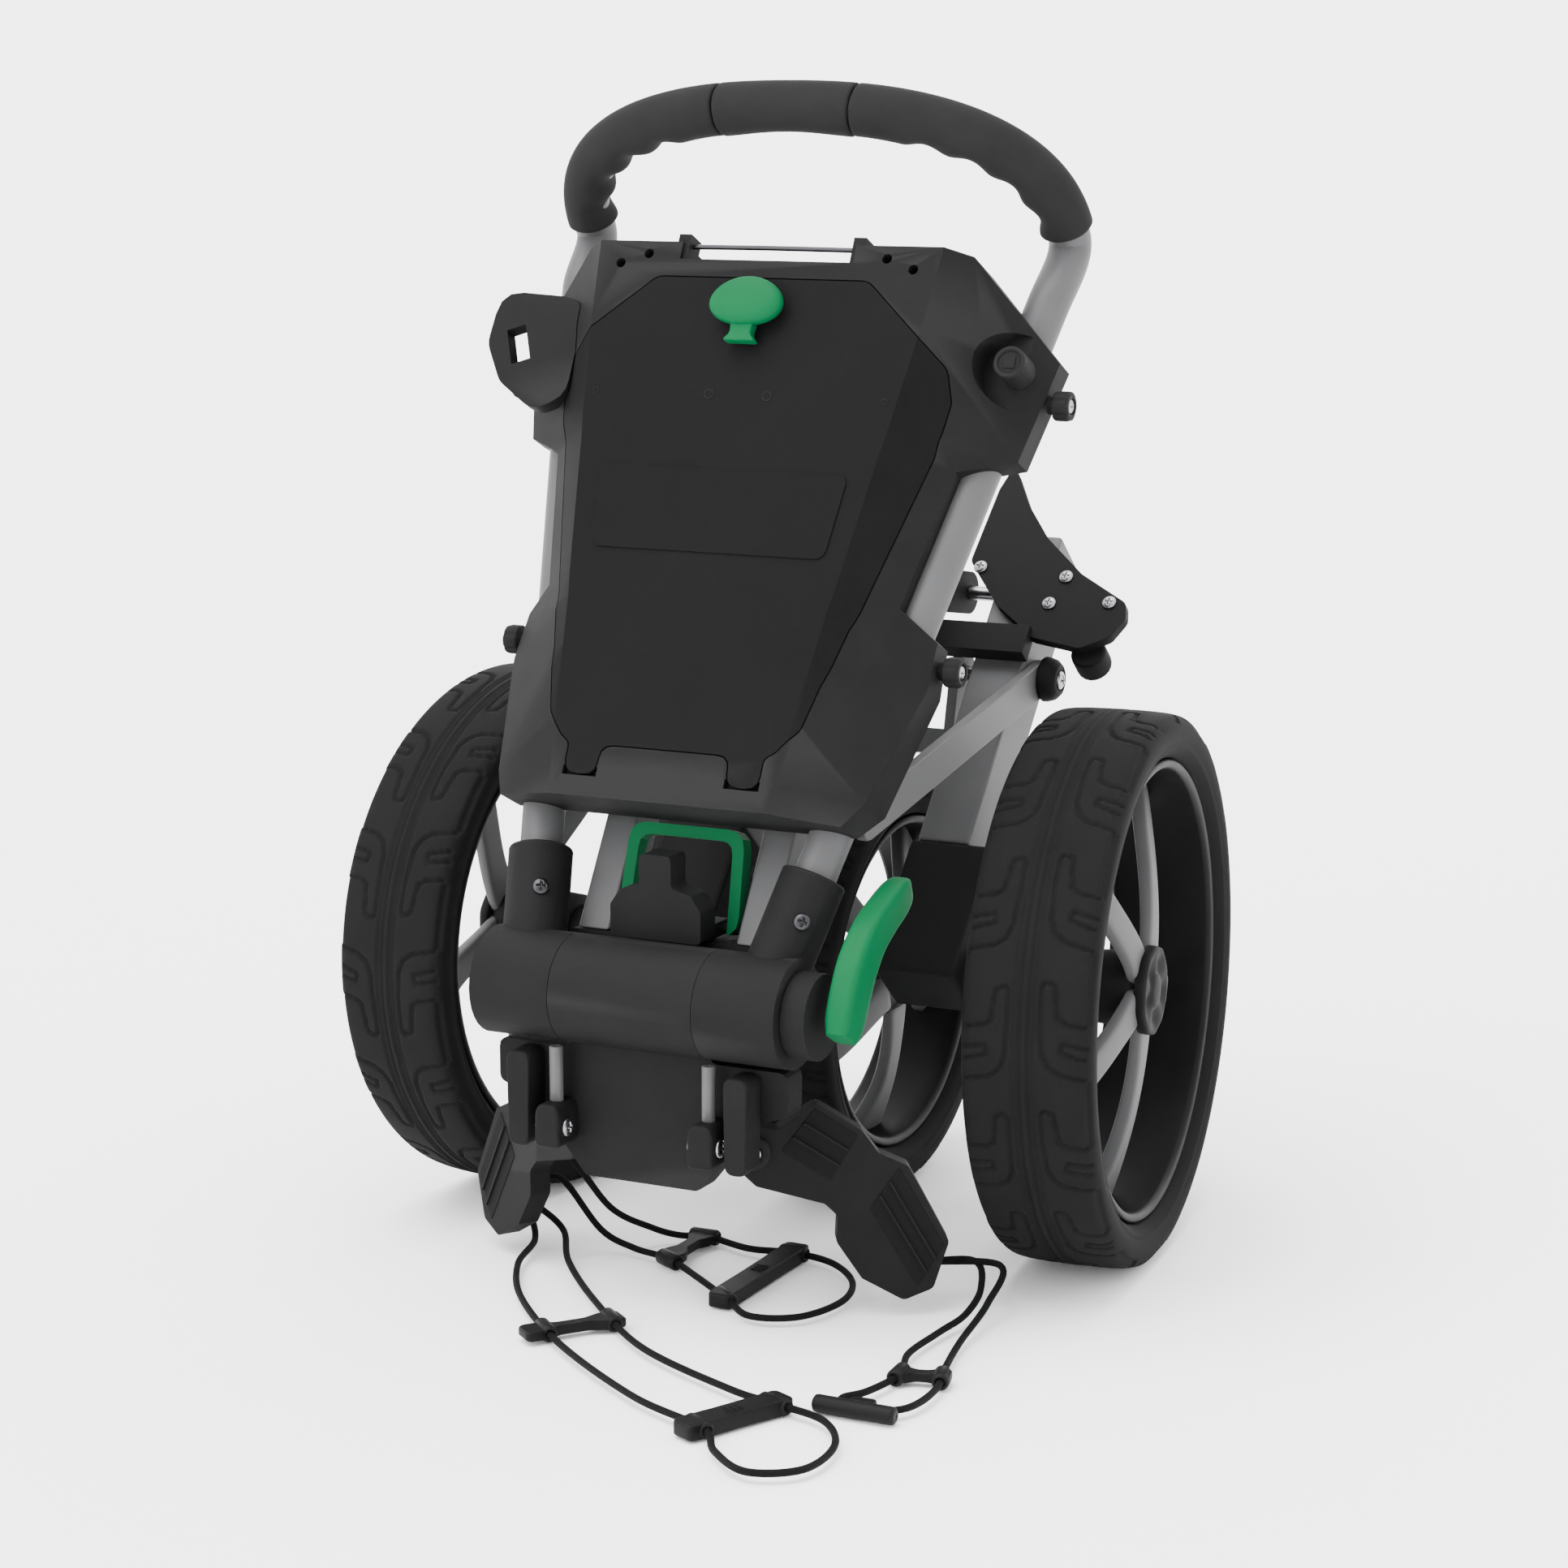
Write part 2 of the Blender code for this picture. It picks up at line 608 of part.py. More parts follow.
def make_frame():
    """The centre knuckle with its plate, the rails, and the bracket at their top."""
    knuckle = rod(
        "centre_knuckle", across(BARREL, -BARREL_SEAM), across(BARREL, BARREL_SEAM), BARREL_RADIUS, PLASTIC, 32
    )
    half = [(0.0385, 0.152), (0.0385, 0.1365), (0.0815, 0.1365), (0.0815, 0.1140), (0.058, 0.1075), (0.0465, 0.096),
            (0.0465, 0.088), (0.032, 0.070)]
    outline = [(x, z) for x, z in half] + [(-x, z) for x, z in reversed(half)]
    upright = frame_of(Vector((0, BARREL.y, 0)), Vector((1, 0, 0)), Vector((0, 0, 1)), Vector((0, -1, 0)))
    apron = plate("apron", rounded(outline, 0.005), -0.012, 0.004, upright, PLASTIC)
    behind = Matrix.Translation((0, BARREL.y, 0))
    reach = BARREL_RADIUS + 2 * GAP
    neck = block("neck", (-0.036, 0.010, 0.145), (0.036, reach + 0.004, 0.187), PLASTIC, behind)
    saddle = block("saddle", (-0.056, reach, 0.142), (0.056, 0.058, 0.189), PLASTIC, behind)
    join(knuckle, apron, neck, saddle)
    cut(knuckle, rod("bore", across(BARREL, -0.1), across(BARREL, 0.1), BOLT_RADIUS + GAP, PLASTIC))
    bolt = rod("hinge_bolt", across(BARREL, -0.092), across(BARREL, 0.098), BOLT_RADIUS, STEEL, 20)
    join(bolt, rod("head", across(BARREL, -0.0925), across(BARREL, -BARREL_END - GAP), 0.011, STEEL, 20))
    join(bolt, rod("nut", across(BARREL, BARREL_END + GAP), across(BARREL, 0.0985), 0.0215, PLASTIC, 28))

    rail_out = Vector((0, -RAIL_SLOPE.z, RAIL_SLOPE.y))
    foot = place(RAIL_FOOT)
    rail_frame = frame_of(foot, Vector((1, 0, 0)), RAIL_SLOPE, rail_out)
    w, d = RAIL_WIDTH / 2, RAIL_DEPTH / 2
    rail = block("frame_rail_right", (-w, -0.02, -d), (w, RAIL_LENGTH, d), GREY_METAL, rail_frame)
    floor = block("floor", (-0.1, -0.1, 0), (0.1, 0.1, 0.189 + GAP), PLASTIC, Matrix.Translation((0, foot.y, 0)))
    cut(rail, floor)
    mirrored(rail, "frame_rail_left")
    make_fold_bracket(foot + RAIL_SLOPE * RAIL_LENGTH)


def make_fold_bracket(rail_top):
    """The bracket that carries the fold pin behind the rails' top ends."""
    yoke_low = (-0.058, rail_top.y - 0.012, rail_top.z - 0.016)
    yoke_high = (0.058, rail_top.y + 0.028, rail_top.z + 0.012)
    bracket = block("fold_bracket", yoke_low, yoke_high, PLASTIC, bevel=0.004)
    reach = FOLD_AXIS - across(rail_top, 0)
    beam_way = reach.normalized()
    beam_up = Vector((0, -beam_way.z, beam_way.y))
    beam_frame = frame_of(across(rail_top, 0), Vector((1, 0, 0)), beam_way, beam_up)
    beam = block("beam", (-0.030, 0.0, -0.012), (0.030, reach.length, 0.012), PLASTIC, beam_frame)
    eye = rod("eye", across(FOLD_AXIS, -0.030), across(FOLD_AXIS, 0.030), 0.012, PLASTIC, 24)
    join(bracket, beam, eye)
    bore = rod("bore", across(FOLD_AXIS, -0.1), across(FOLD_AXIS, 0.1), PIN_RADIUS + GAP, PLASTIC)
    slots = []
    rail_out = Vector((0, -RAIL_SLOPE.z, RAIL_SLOPE.y))
    for side in (-1, 1):
        slot_frame = frame_of(across(rail_top, side * RAIL_X), Vector((1, 0, 0)), RAIL_SLOPE, rail_out)
        w, d = RAIL_WIDTH / 2 + GAP, RAIL_DEPTH / 2 + GAP
        slots.append(block("slot", (-w, -0.1, -d), (w, GAP, d), PLASTIC, slot_frame))
    cut(bracket, bore, *slots)


def make_lock():
    """The fold lock between the rails, and the green bail that releases it."""
    half = [(0.0255, 0.1915), (0.0255, 0.208), (0.020, 0.216), (0.009, 0.219), (0.009, 0.235)]
    outline = [(x, z) for x, z in half] + [(-x, z) for x, z in reversed(half)]
    upright = frame_of(Vector((0, BARREL.y, 0)), Vector((1, 0, 0)), Vector((0, 0, 1)), Vector((0, -1, 0)))
    lock = plate("lock_block", rounded(outline, 0.003), -0.028, -0.012, upright, PLASTIC)
    pivot = BAIL_PIVOT
    behind = Matrix.Translation((0, BARREL.y, 0))
    lug = block("lug", (-0.0245, 0.026, 0.1915), (0.0245, 0.0445, 0.1990), PLASTIC, behind)
    join(lock, lug, rod("pin", across(pivot, -0.034), across(pivot, 0.034), 0.0025, PLASTIC, 12))

    lean = math.radians(14)
    up = Vector((0, math.sin(lean), math.cos(lean)))
    out = Vector((0, -math.cos(lean), math.sin(lean)))
    bail_frame = frame_of(pivot, Vector((1, 0, 0)), up, out)
    rise, half_width = 0.0495, 0.0345
    outer = [(half_width, -0.004), (half_width - 0.002, rise), (-half_width + 0.002, rise), (-half_width, -0.004)]
    inner = [(half_width - 0.006, -0.01), (half_width - 0.008, rise - 0.006), (-half_width + 0.008, rise - 0.006),
             (-half_width + 0.006, -0.01)]
    bail = plate("release_bail", rounded(outer, 0.010), -0.0045, 0.0045, bail_frame, GREEN)
    window = plate("window", rounded(inner, 0.007), -0.02, 0.02, bail_frame, GREEN)
    cut(bail, window, rod("bore", across(pivot, -0.1), across(pivot, 0.1), 0.0025 + GAP, GREEN, 12))
    set_origin(bail, pivot)


BAIL_PIVOT = place((0, -0.154, 0.1945))


def make_tie_rods():
    """The grey tie rods in front of the apron, each with its clevis and bolt."""
    x, y = 0.043, BARREL.y - 0.0135
    right = rod("tie_rod_right", (x, y, 0.107), (x, y, 0.139), 0.0035, GREY_METAL, 16)
    clevis = block("clevis", (x - 0.007, BARREL.y - 0.0245, 0.088), (x + 0.007, BARREL.y - 0.0043, 0.110), GREY_METAL,
                   bevel=0.002)
    bolt = rod("bolt", (x - 0.011, y - 0.003, 0.098), (x + 0.011, y - 0.003, 0.098), 0.0045, STEEL, 12)
    join(right, clevis, bolt)
    mirrored(right, "tie_rod_left")


def make_wings():
    """The wings that cradle the top of the bag."""
    outline = rounded(
        [(-0.010, -0.007), (0.012, -0.009), (0.045, 0.005), (0.054, 0.004), (0.062, -0.007), (0.084, -0.014),
         (0.108, -0.010), (0.116, 0.004), (0.107, 0.028), (0.066, 0.046), (0.050, 0.042), (0.036, 0.046),
         (0.009, 0.043), (0.002, 0.020), (-0.010, 0.014)],
        0.004,
        steps=2,
    )
    wing = plate("bag_wing_right", outline, -WING_THICKNESS, 0, WING, PLASTIC)
    near_apron = block("near", (0, -0.012 - GAP, 0.05), (0.0465 + GAP, 0.05, 0.12), PLASTIC,
                       Matrix.Translation((0, BARREL.y, 0)))
    floor = block("floor", (-0.3, -0.3, -0.1), (0.3, 0.3, 0.0002), PLASTIC)
    cut(wing, near_apron, floor)
    mirrored(wing, "bag_wing_left")


# --- Rear legs, lower bag bracket and front fork ------------------------------


def make_legs():
    """The rear legs with their axle housings, side links and pivot caps."""
    w, d = LEG_WIDTH / 2, LEG_DEPTH / 2
    x = LEG_FOOT.x
    leg = block("leg_tube_right", (x - w, 0, -d), (x + w, LEG_LENGTH, d), GREY_METAL, LEG, bevel=0.002)
    pins = [
        rod("pin", across(axis, x - w - 0.01), across(axis, x + w + 0.01), PIN_RADIUS + GAP, GREY_METAL)
        for axis in (FOLD_AXIS, FORK_AXIS)
    ]
    cut(leg, *pins)
    mirrored(leg, "leg_tube_left")

    wheel = wheel_frame(REAR_HALF_TRACK, REAR_TOE)
    body = block("axle_housing_right", (x - w - 0.003, -0.080, -0.024), (x + w + 0.014, -GAP, 0.020), PLASTIC, LEG,
                 bevel=0.003)
    stub = rod("stub", wheel @ Vector((-0.085, 0, 0)), wheel @ Vector((0.0185, 0, 0)), AXLE_RADIUS, STEEL, 20)
    collar = rod("collar", wheel @ Vector((-0.080, 0, 0)), wheel @ Vector((-0.027, 0, 0)), 0.013, PLASTIC, 24)
    join(body, collar, stub)
    mirrored(body, "axle_housing_left")


def make_pins():
    """The two pins across the legs: the fold pin and the fork pin."""
    outer = LEG_FOOT.x + LEG_WIDTH / 2
    rod("fold_pin", across(FOLD_AXIS, -outer - 0.003), across(FOLD_AXIS, outer + 0.003), PIN_RADIUS, STEEL, 20)
    rod("fork_pin", across(FORK_AXIS, -outer - 0.0105), across(FORK_AXIS, outer + 0.0105), PIN_RADIUS, STEEL, 20)


def make_links():
    """The flat side links and the domed caps over their pivots."""
    inner = LEG_FOOT.x + LEG_WIDTH / 2 + GAP
    far = place((0, -0.118, 0.249))
    way = (across(far, 0) - across(FORK_AXIS, 0)).normalized()
    side = Vector((0, -way.z, way.y))
    frame = frame_of(across(FORK_AXIS, 0), way, side, Vector((1, 0, 0)))
    length = (across(far, 0) - across(FORK_AXIS, 0)).length
    outline = rounded([(-0.010, -0.010), (length + 0.010, -0.010), (length + 0.010, 0.010), (-0.010, 0.010)], 0.0095)
    link = plate("side_link_right", outline, inner, inner + 0.006, frame, GREY_METAL)
    cut(link, rod("bore", across(FORK_AXIS, 0), across(FORK_AXIS, 0.2), PIN_RADIUS + GAP, GREY_METAL))
    mirrored(link, "side_link_left")

    base = inner + 0.006 + GAP
    cap = rod("pivot_cap_right", across(FORK_AXIS, base), across(FORK_AXIS, base + 0.005), 0.0125, PLASTIC, 24)
    dome = rod("dome", across(FORK_AXIS, base + 0.0045), across(FORK_AXIS, base + 0.011), 0.0125, PLASTIC, 24, 0.007)
    join(cap, dome)
    cut(cap, rod("bore", across(FORK_AXIS, 0), across(FORK_AXIS, base + 0.0052), PIN_RADIUS + GAP, PLASTIC))
    mirrored(cap, "pivot_cap_left")


def make_lower_bracket():
    """The horned bracket that carries the foot of the bag, and its rubber bumpers."""
    front = LEG_DEPTH / 2 + GAP
    horn = [(0.0360, 0.176), (0.0395, 0.225), (0.0445, 0.243), (0.0610, 0.215), (0.0780, 0.194), (0.1040, 0.172),
            (0.1345, 0.155), (0.1370, 0.145), (0.1310, 0.132), (0.1150, 0.1235), (0.0860, 0.1285), (0.0600, 0.148)]
    plates = []
    for side in (-1, 1):
        outline = [(side * px, pu) for px, pu in horn]
        plates.append(plate("horn", rounded(outline, 0.006), front, front + BRACKET_THICKNESS, LEG, PLASTIC))
    bar = block("lower_bag_bracket", (-0.085, 0.116, front), (0.085, 0.134, front + 0.010), PLASTIC, LEG)
    join(bar, *plates)
    low = front + BRACKET_THICKNESS + GAP
    bumper = rod("bumper_right", LEG @ Vector((0.118, 0.126, front - GAP)), LEG @ Vector((0.118, 0.126, front - 0.016)),
                 0.010, RUBBER, 20)
    mirrored(bumper, "bumper_left")
    return low


def make_fork():
    """The fork of the front wheel, folded down between the legs."""
    axle = place(FRONT_AXLE)
    way = (across(axle, 0) - across(FORK_AXIS, 0)).normalized()
    side = Vector((0, -way.z, way.y))
    frame = frame_of(across(FORK_AXIS, 0), way, side, Vector((1, 0, 0)))
    length = (across(axle, 0) - across(FORK_AXIS, 0)).length
    half = BLADE_WIDTH / 2
    outline = rounded([(-half, -half), (length + half, -half), (length + half, half), (-half, half)], half * 0.95)
    blades = []
    for low in (BLADE_INNER, -BLADE_INNER - BLADE_THICKNESS):
        blades.append(plate("blade", outline, low, low + BLADE_THICKNESS, frame, GREY_METAL))
    crown_low = length - FRONT_RADIUS - 0.024
    reach = BLADE_INNER + BLADE_THICKNESS / 2
    fork = block("front_fork", (crown_low, -0.009, -reach), (crown_low + 0.014, 0.009, reach), GREY_METAL, frame)
    join(fork, *blades)
    cut(fork, rod("bore", across(FORK_AXIS, -0.1), across(FORK_AXIS, 0.1), PIN_RADIUS + GAP, GREY_METAL))
    join(fork, rod("axle", across(axle, -reach - 0.008), across(axle, reach + 0.008), AXLE_RADIUS, GREY_METAL, 20))


# --- Wheels --------------------------------------------------------------------


def wheel_frame(x, toe):
    """A rear wheel's frame: its first axis is the axle, pointing out of the cart."""
    axle_way = Vector((math.cos(toe), math.sin(toe), 0))
    ahead = Vector((-math.sin(toe), math.cos(toe), 0))
    return frame_of(place((x, 0, REAR_RADIUS)), axle_way, ahead, Vector((0, 0, 1)))


def make_wheel(side, frame, radius, width):
    """A wheel's tyre, its spoked rim and its hub cap, in the wheel's frame."""
    seat = radius - TYRE_SECTION
    half = width / 2
    section = [(-0.40, 0.0), (-0.47, 0.25), (-0.50, 0.55), (-0.47, 0.82), (-0.36, 0.97), (-0.12, 1.0)]
    right_half = [(-x, h) for x, h in reversed(section)]
    profile = [(x * width, seat + GAP + h * (TYRE_SECTION - GAP)) for x, h in section + right_half]
    turned(f"tyre_{side}", profile, frame, RUBBER)

    lip = half * 0.76
    barrel = [(-lip, seat - RIM_WALL), (-lip, seat), (lip, seat), (lip, seat - RIM_WALL)]
    rim = turned(f"rim_{side}", barrel, frame, RIM_PLASTIC)
    spokes = []
    for i in range(SPOKES):
        turn = frame @ Matrix.Rotation(2 * math.pi * i / SPOKES, 4, "X") @ Matrix.Rotation(0.10, 4, "Y")
        spokes.append(block("spoke", (0.002, -0.009, HUB_RADIUS * 0.7), (0.014, 0.009, seat - 0.0025), RIM_PLASTIC, turn))
    hub = rod("hub", frame @ Vector((-half * 0.76, 0, 0)), frame @ Vector((half * 0.65, 0, 0)), HUB_RADIUS, RIM_PLASTIC)
    join(rim, hub, *spokes)
    reach = frame.to_3x3() @ Vector((width, 0, 0))
    centre = frame.translation
    cut(rim, rod("bore", centre - reach, centre + reach, AXLE_RADIUS + GAP, RIM_PLASTIC))
    if side != "front":
        start = half * 0.65 + GAP
        rod(f"hub_cap_{side}", frame @ Vector((start, 0, 0)), frame @ Vector((start + 0.007, 0, 0)), 0.023, PLASTIC, 28,
            0.019)


def make_wheels():
    """Both rear wheels and the folded front wheel."""
    make_wheel("right", wheel_frame(REAR_HALF_TRACK, REAR_TOE), REAR_RADIUS, REAR_WIDTH)
    for piece in ("tyre", "rim", "hub_cap"):
        mirrored(bpy.data.objects[f"{piece}_right"], f"{piece}_left")
    front = frame_of(place(FRONT_AXLE), Vector((1, 0, 0)), Vector((0, 1, 0)), Vector((0, 0, 1)))
    make_wheel("front", front, FRONT_RADIUS, FRONT_WIDTH)


# --- Clamp lever and lid latch ---------------------------------------------------

LEVER_WAY = Vector((0, 0.64, 0.768)).normalized()
LEVER_INNER = 0.1035
LEVER_THICKNESS = 0.015


def make_lever():
    """The green clamp lever beside the right knuckle."""
    side = Vector((0, -LEVER_WAY.z, LEVER_WAY.y))
    frame = frame_of(across(BARREL, 0), LEVER_WAY, side, Vector((1, 0, 0)))
    outline = rounded(
        [(-0.009, -0.010), (0.006, -0.013), (0.045, -0.007), (0.078, -0.013), (0.090, -0.010), (0.089, -0.001),
         (0.066, 0.010), (0.035, 0.012), (-0.009, 0.012)],
        0.006,
    )
    lever = plate("clamp_lever", outline, LEVER_INNER, LEVER_INNER + LEVER_THICKNESS, frame, GREEN)
    set_origin(lever, across(BARREL, LEVER_INNER + LEVER_THICKNESS / 2))


def make_latch():
    """The oval green turn latch on the lid."""
    centre = Vector((-0.002, 0.2625, 0))
    seat = CONSOLE @ (centre + Vector((0, 0, GAP)))
    frame = frame_of(seat, Vector((1, 0, 0)), CONSOLE_UP, CONSOLE_OUT)
    oval = [
        (0.0205 * math.cos(2 * math.pi * i / 28), 0.013 * math.sin(2 * math.pi * i / 28)) for i in range(28)
    ]
    knob = plate("latch_knob", oval, 0.004, 0.010, frame, GREEN)
    stem = rod("stem", seat, seat + CONSOLE_OUT * 0.005, 0.008, GREEN, 20)
    tab = block("tab", (-0.007, -0.0175, 0.002), (0.007, -0.006, 0.006), GREEN, frame)
    join(knob, stem, tab)
    set_origin(knob, seat)


# --- Bungees -------------------------------------------------------------------


def smooth_route(route, spacing):
    """Points along a Catmull-Rom curve through a route, about spacing apart."""
    knots = [Vector(p) for p in route]
    knots = [knots[0] * 2 - knots[1], *knots, knots[-1] * 2 - knots[-2]]
    points = []
    for i in range(1, len(knots) - 2):
        a, b, c, d = knots[i - 1 : i + 3]
        count = max(1, round((c - b).length / spacing))
        for step in range(count):
            t = step / count
            points.append(0.5 * (2 * b + (c - a) * t + (2 * a - 5 * b + 4 * c - d) * t * t
                                 + (3 * b - a - 3 * c + d) * t**3))
    points.append(knots[-2])
    return points


def behind_wing(side, along, up, back):
    """A point behind a bag wing, relative to the axle line."""
    point = WING @ Vector((along, up, -WING_THICKNESS - back)) - place((0, 0, 0))
    return (side * point.x, point.y, point.z)


FLOOR = CORD_FLOOR
UPPER_ROUTE = (
    behind_wing(-1, 0.054, 0.012, 0.001), behind_wing(-1, 0.052, 0.008, 0.012),
    (-0.0640, -0.1150, 0.0250), (-0.0500, -0.0950, 0.0100), (-0.0380, -0.0850, FLOOR),
    (-0.0250, -0.0800, FLOOR), (0.0050, -0.0890, FLOOR), (0.0300, -0.0850, FLOOR), (0.0560, -0.0920, FLOOR),
    (0.0780, -0.1150, FLOOR), (0.0860, -0.1450, FLOOR), (0.0770, -0.1750, FLOOR), (0.0540, -0.1850, FLOOR),
    (0.0330, -0.1680, FLOOR), (0.0050, -0.1450, FLOOR), (-0.0250, -0.1230, FLOOR), (-0.0500, -0.1150, FLOOR),
    (-0.0700, -0.1150, 0.0120), behind_wing(-1, 0.070, 0.002, 0.014), behind_wing(-1, 0.072, 0.004, 0.001),
)
LOWER_ROUTE = (
    behind_wing(-1, 0.092, 0.000, 0.001), behind_wing(-1, 0.094, -0.004, 0.010),
    (-0.0900, -0.1200, 0.0100), (-0.0700, -0.1500, FLOOR), (-0.0260, -0.2000, FLOOR),
    (0.0280, -0.2500, FLOOR), (0.0920, -0.2820, FLOOR), (0.1200, -0.2900, FLOOR), (0.1500, -0.3000, FLOOR),
    (0.1680, -0.3260, FLOOR), (0.1680, -0.3580, FLOOR), (0.1460, -0.3720, FLOOR), (0.1220, -0.3560, FLOOR),
    (0.1040, -0.3330, FLOOR), (0.0560, -0.3110, FLOOR), (-0.0110, -0.2630, FLOOR), (-0.0640, -0.2100, FLOOR),
    (-0.0920, -0.1650, FLOOR), (-0.1020, -0.1300, 0.0060), behind_wing(-1, 0.108, -0.002, 0.010),
    behind_wing(-1, 0.106, 0.000, 0.001),
)
HOOK_ROUTE = (
    behind_wing(1, 0.100, 0.000, 0.001), behind_wing(1, 0.104, 0.000, 0.014), (0.1400, -0.1030, 0.0220),
    (0.1520, -0.1200, 0.0140), (0.1530, -0.1420, 0.0070), (0.1490, -0.1650, FLOOR), (0.1480, -0.2000, FLOOR),
    (0.1560, -0.2280, FLOOR), (0.1520, -0.2560, FLOOR), (0.1450, -0.2690, FLOOR), (0.1500, -0.2790, FLOOR), (0.1620, -0.2800, FLOOR),
    (0.1780, -0.2680, FLOOR), (0.1800, -0.2400, FLOOR), (0.1720, -0.2100, FLOOR), (0.1640, -0.1740, FLOOR),
    (0.1620, -0.1350, 0.0120), (0.1580, -0.1100, 0.0240), behind_wing(1, 0.112, 0.006, 0.022),
    behind_wing(1, 0.090, 0.000, 0.014), behind_wing(1, 0.086, 0.000, 0.001),
)
CORD_ROUTES = {"bungee_upper": UPPER_ROUTE, "bungee_lower": LOWER_ROUTE, "bungee_hook": HOOK_ROUTE}


def cord_path(name, spacing=0.009):
    """A bungee's centre line in the part's frame."""
    return [place(p) for p in smooth_route(CORD_ROUTES[name], spacing)]


def make_cord_piece(name, cord, centre, turn, size):
    """A moulded piece on a bungee, bored for the strands that pass through it."""
    turned_frame = Matrix.Translation(place(centre)) @ Matrix.Rotation(math.radians(turn), 4, "Z")
    half = Vector(size) / 2
    piece = block(name, -half, half, PLASTIC, turned_frame, bevel=0.0012)
    cut(piece, tube("strand", cord_path(cord), CORD_RADIUS + CORD_CLEAR, PLASTIC, 2))


def make_bungees():
    """The three elastic loops with their bridges, buckles and hook bar."""
    for name in CORD_ROUTES:
        tube(name, cord_path(name), CORD_RADIUS, ELASTIC, 2)
    middle = CORD_FLOOR + 0.0002
    make_cord_piece("bridge_upper", "bungee_upper", (-0.025, -0.1015, middle), 0, (0.014, 0.052, 0.0088))
    make_cord_piece("buckle_upper", "bungee_upper", (0.030, -0.126, middle), 0, (0.013, 0.094, 0.0088))
    make_cord_piece("bridge_lower", "bungee_lower", (-0.018, -0.238, middle), -38, (0.014, 0.062, 0.0088))
    make_cord_piece("buckle_lower", "bungee_lower", (0.110, -0.313, middle), -25, (0.014, 0.062, 0.0088))
    make_cord_piece("bridge_hook", "bungee_hook", (0.167, -0.226, middle), 15, (0.036, 0.012, 0.0088))
    make_cord_piece("hook_bar", "bungee_hook", (0.1570, -0.2810, middle), 0, (0.042, 0.012, 0.0088))


def main():
    clear_scene()
    make_handle()
    make_handle_joint()
    make_console()
    make_console_fittings()
    make_net()
    make_frame()
    make_lock()
    make_tie_rods()
    make_wings()
    make_legs()
    make_pins()
    make_links()
    make_lower_bracket()
    make_fork()
    make_wheels()
    make_lever()
    make_latch()
    make_bungees()


main()
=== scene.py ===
"""The visual model of a folded three-wheel golf push cart.

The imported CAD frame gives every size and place. Each class below dresses one
sub-assembly: it rounds the edges of the frame's own solids, or replaces a solid
by a finer surface that is worked out with numpy, and gives it its finish.
Everything is in metres in the cart's frame, with the floor at Z = 0.
"""

from __future__ import annotations

import json
import logging
import math
from collections.abc import Sequence
from dataclasses import dataclass, field
from enum import Enum

import bmesh
import bpy
import numpy as np
from mathutils import Matrix, Vector

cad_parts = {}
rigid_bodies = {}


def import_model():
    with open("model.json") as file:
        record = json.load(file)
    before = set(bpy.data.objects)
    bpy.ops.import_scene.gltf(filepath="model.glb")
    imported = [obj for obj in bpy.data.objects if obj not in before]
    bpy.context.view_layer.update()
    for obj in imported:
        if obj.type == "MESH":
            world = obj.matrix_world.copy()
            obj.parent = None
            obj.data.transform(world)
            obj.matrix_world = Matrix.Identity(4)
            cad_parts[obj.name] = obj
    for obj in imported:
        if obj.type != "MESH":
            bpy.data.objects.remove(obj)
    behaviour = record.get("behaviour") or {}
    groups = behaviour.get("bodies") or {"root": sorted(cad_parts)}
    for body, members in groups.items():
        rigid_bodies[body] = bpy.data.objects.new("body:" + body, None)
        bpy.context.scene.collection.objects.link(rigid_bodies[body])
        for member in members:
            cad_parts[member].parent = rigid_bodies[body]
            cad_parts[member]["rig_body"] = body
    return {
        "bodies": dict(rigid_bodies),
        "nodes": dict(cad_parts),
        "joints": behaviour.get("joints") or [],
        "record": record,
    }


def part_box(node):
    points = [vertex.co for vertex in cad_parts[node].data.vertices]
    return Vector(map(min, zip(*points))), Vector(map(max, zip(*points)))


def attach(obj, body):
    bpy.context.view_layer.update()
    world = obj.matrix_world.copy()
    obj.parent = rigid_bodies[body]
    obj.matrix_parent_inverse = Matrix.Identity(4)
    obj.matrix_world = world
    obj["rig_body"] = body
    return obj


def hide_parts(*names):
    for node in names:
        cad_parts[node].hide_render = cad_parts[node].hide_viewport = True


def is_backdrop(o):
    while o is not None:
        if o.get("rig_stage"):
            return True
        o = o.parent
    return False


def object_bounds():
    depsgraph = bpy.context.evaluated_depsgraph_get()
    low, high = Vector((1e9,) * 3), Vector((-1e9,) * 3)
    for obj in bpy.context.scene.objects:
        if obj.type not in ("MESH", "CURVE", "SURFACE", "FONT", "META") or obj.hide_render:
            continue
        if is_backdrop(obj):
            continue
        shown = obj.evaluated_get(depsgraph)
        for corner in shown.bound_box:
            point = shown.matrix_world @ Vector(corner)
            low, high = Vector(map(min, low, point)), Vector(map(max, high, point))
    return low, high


LOG = logging.getLogger("golf_cart")

AXLE_Y = 0.01775  # the rear axle line
REAR_RADIUS = 0.146
REAR_WIDTH = 0.068
REAR_HALF_TRACK = 0.1695
REAR_TOE = math.radians(5.4)
FRONT_RADIUS = 0.118
FRONT_WIDTH = 0.060
TYRE_SECTION = 0.0245
BARREL = np.array((0.0, AXLE_Y - 0.194, 0.166))
TREAD_LEAD = 0.06  # how far one half of the tread leads the other, in pitches
TREAD_CUT = 0.0008  # half width of a cut
CONSOLE_LEAN = math.radians(25.4)
CONSOLE_FOOT = np.array((0.0, AXLE_Y - 0.1819, 0.2615))
CORD_RADIUS = 0.0018
FLOOR = 0.0045  # height of a lying strap's centre

Array = np.ndarray


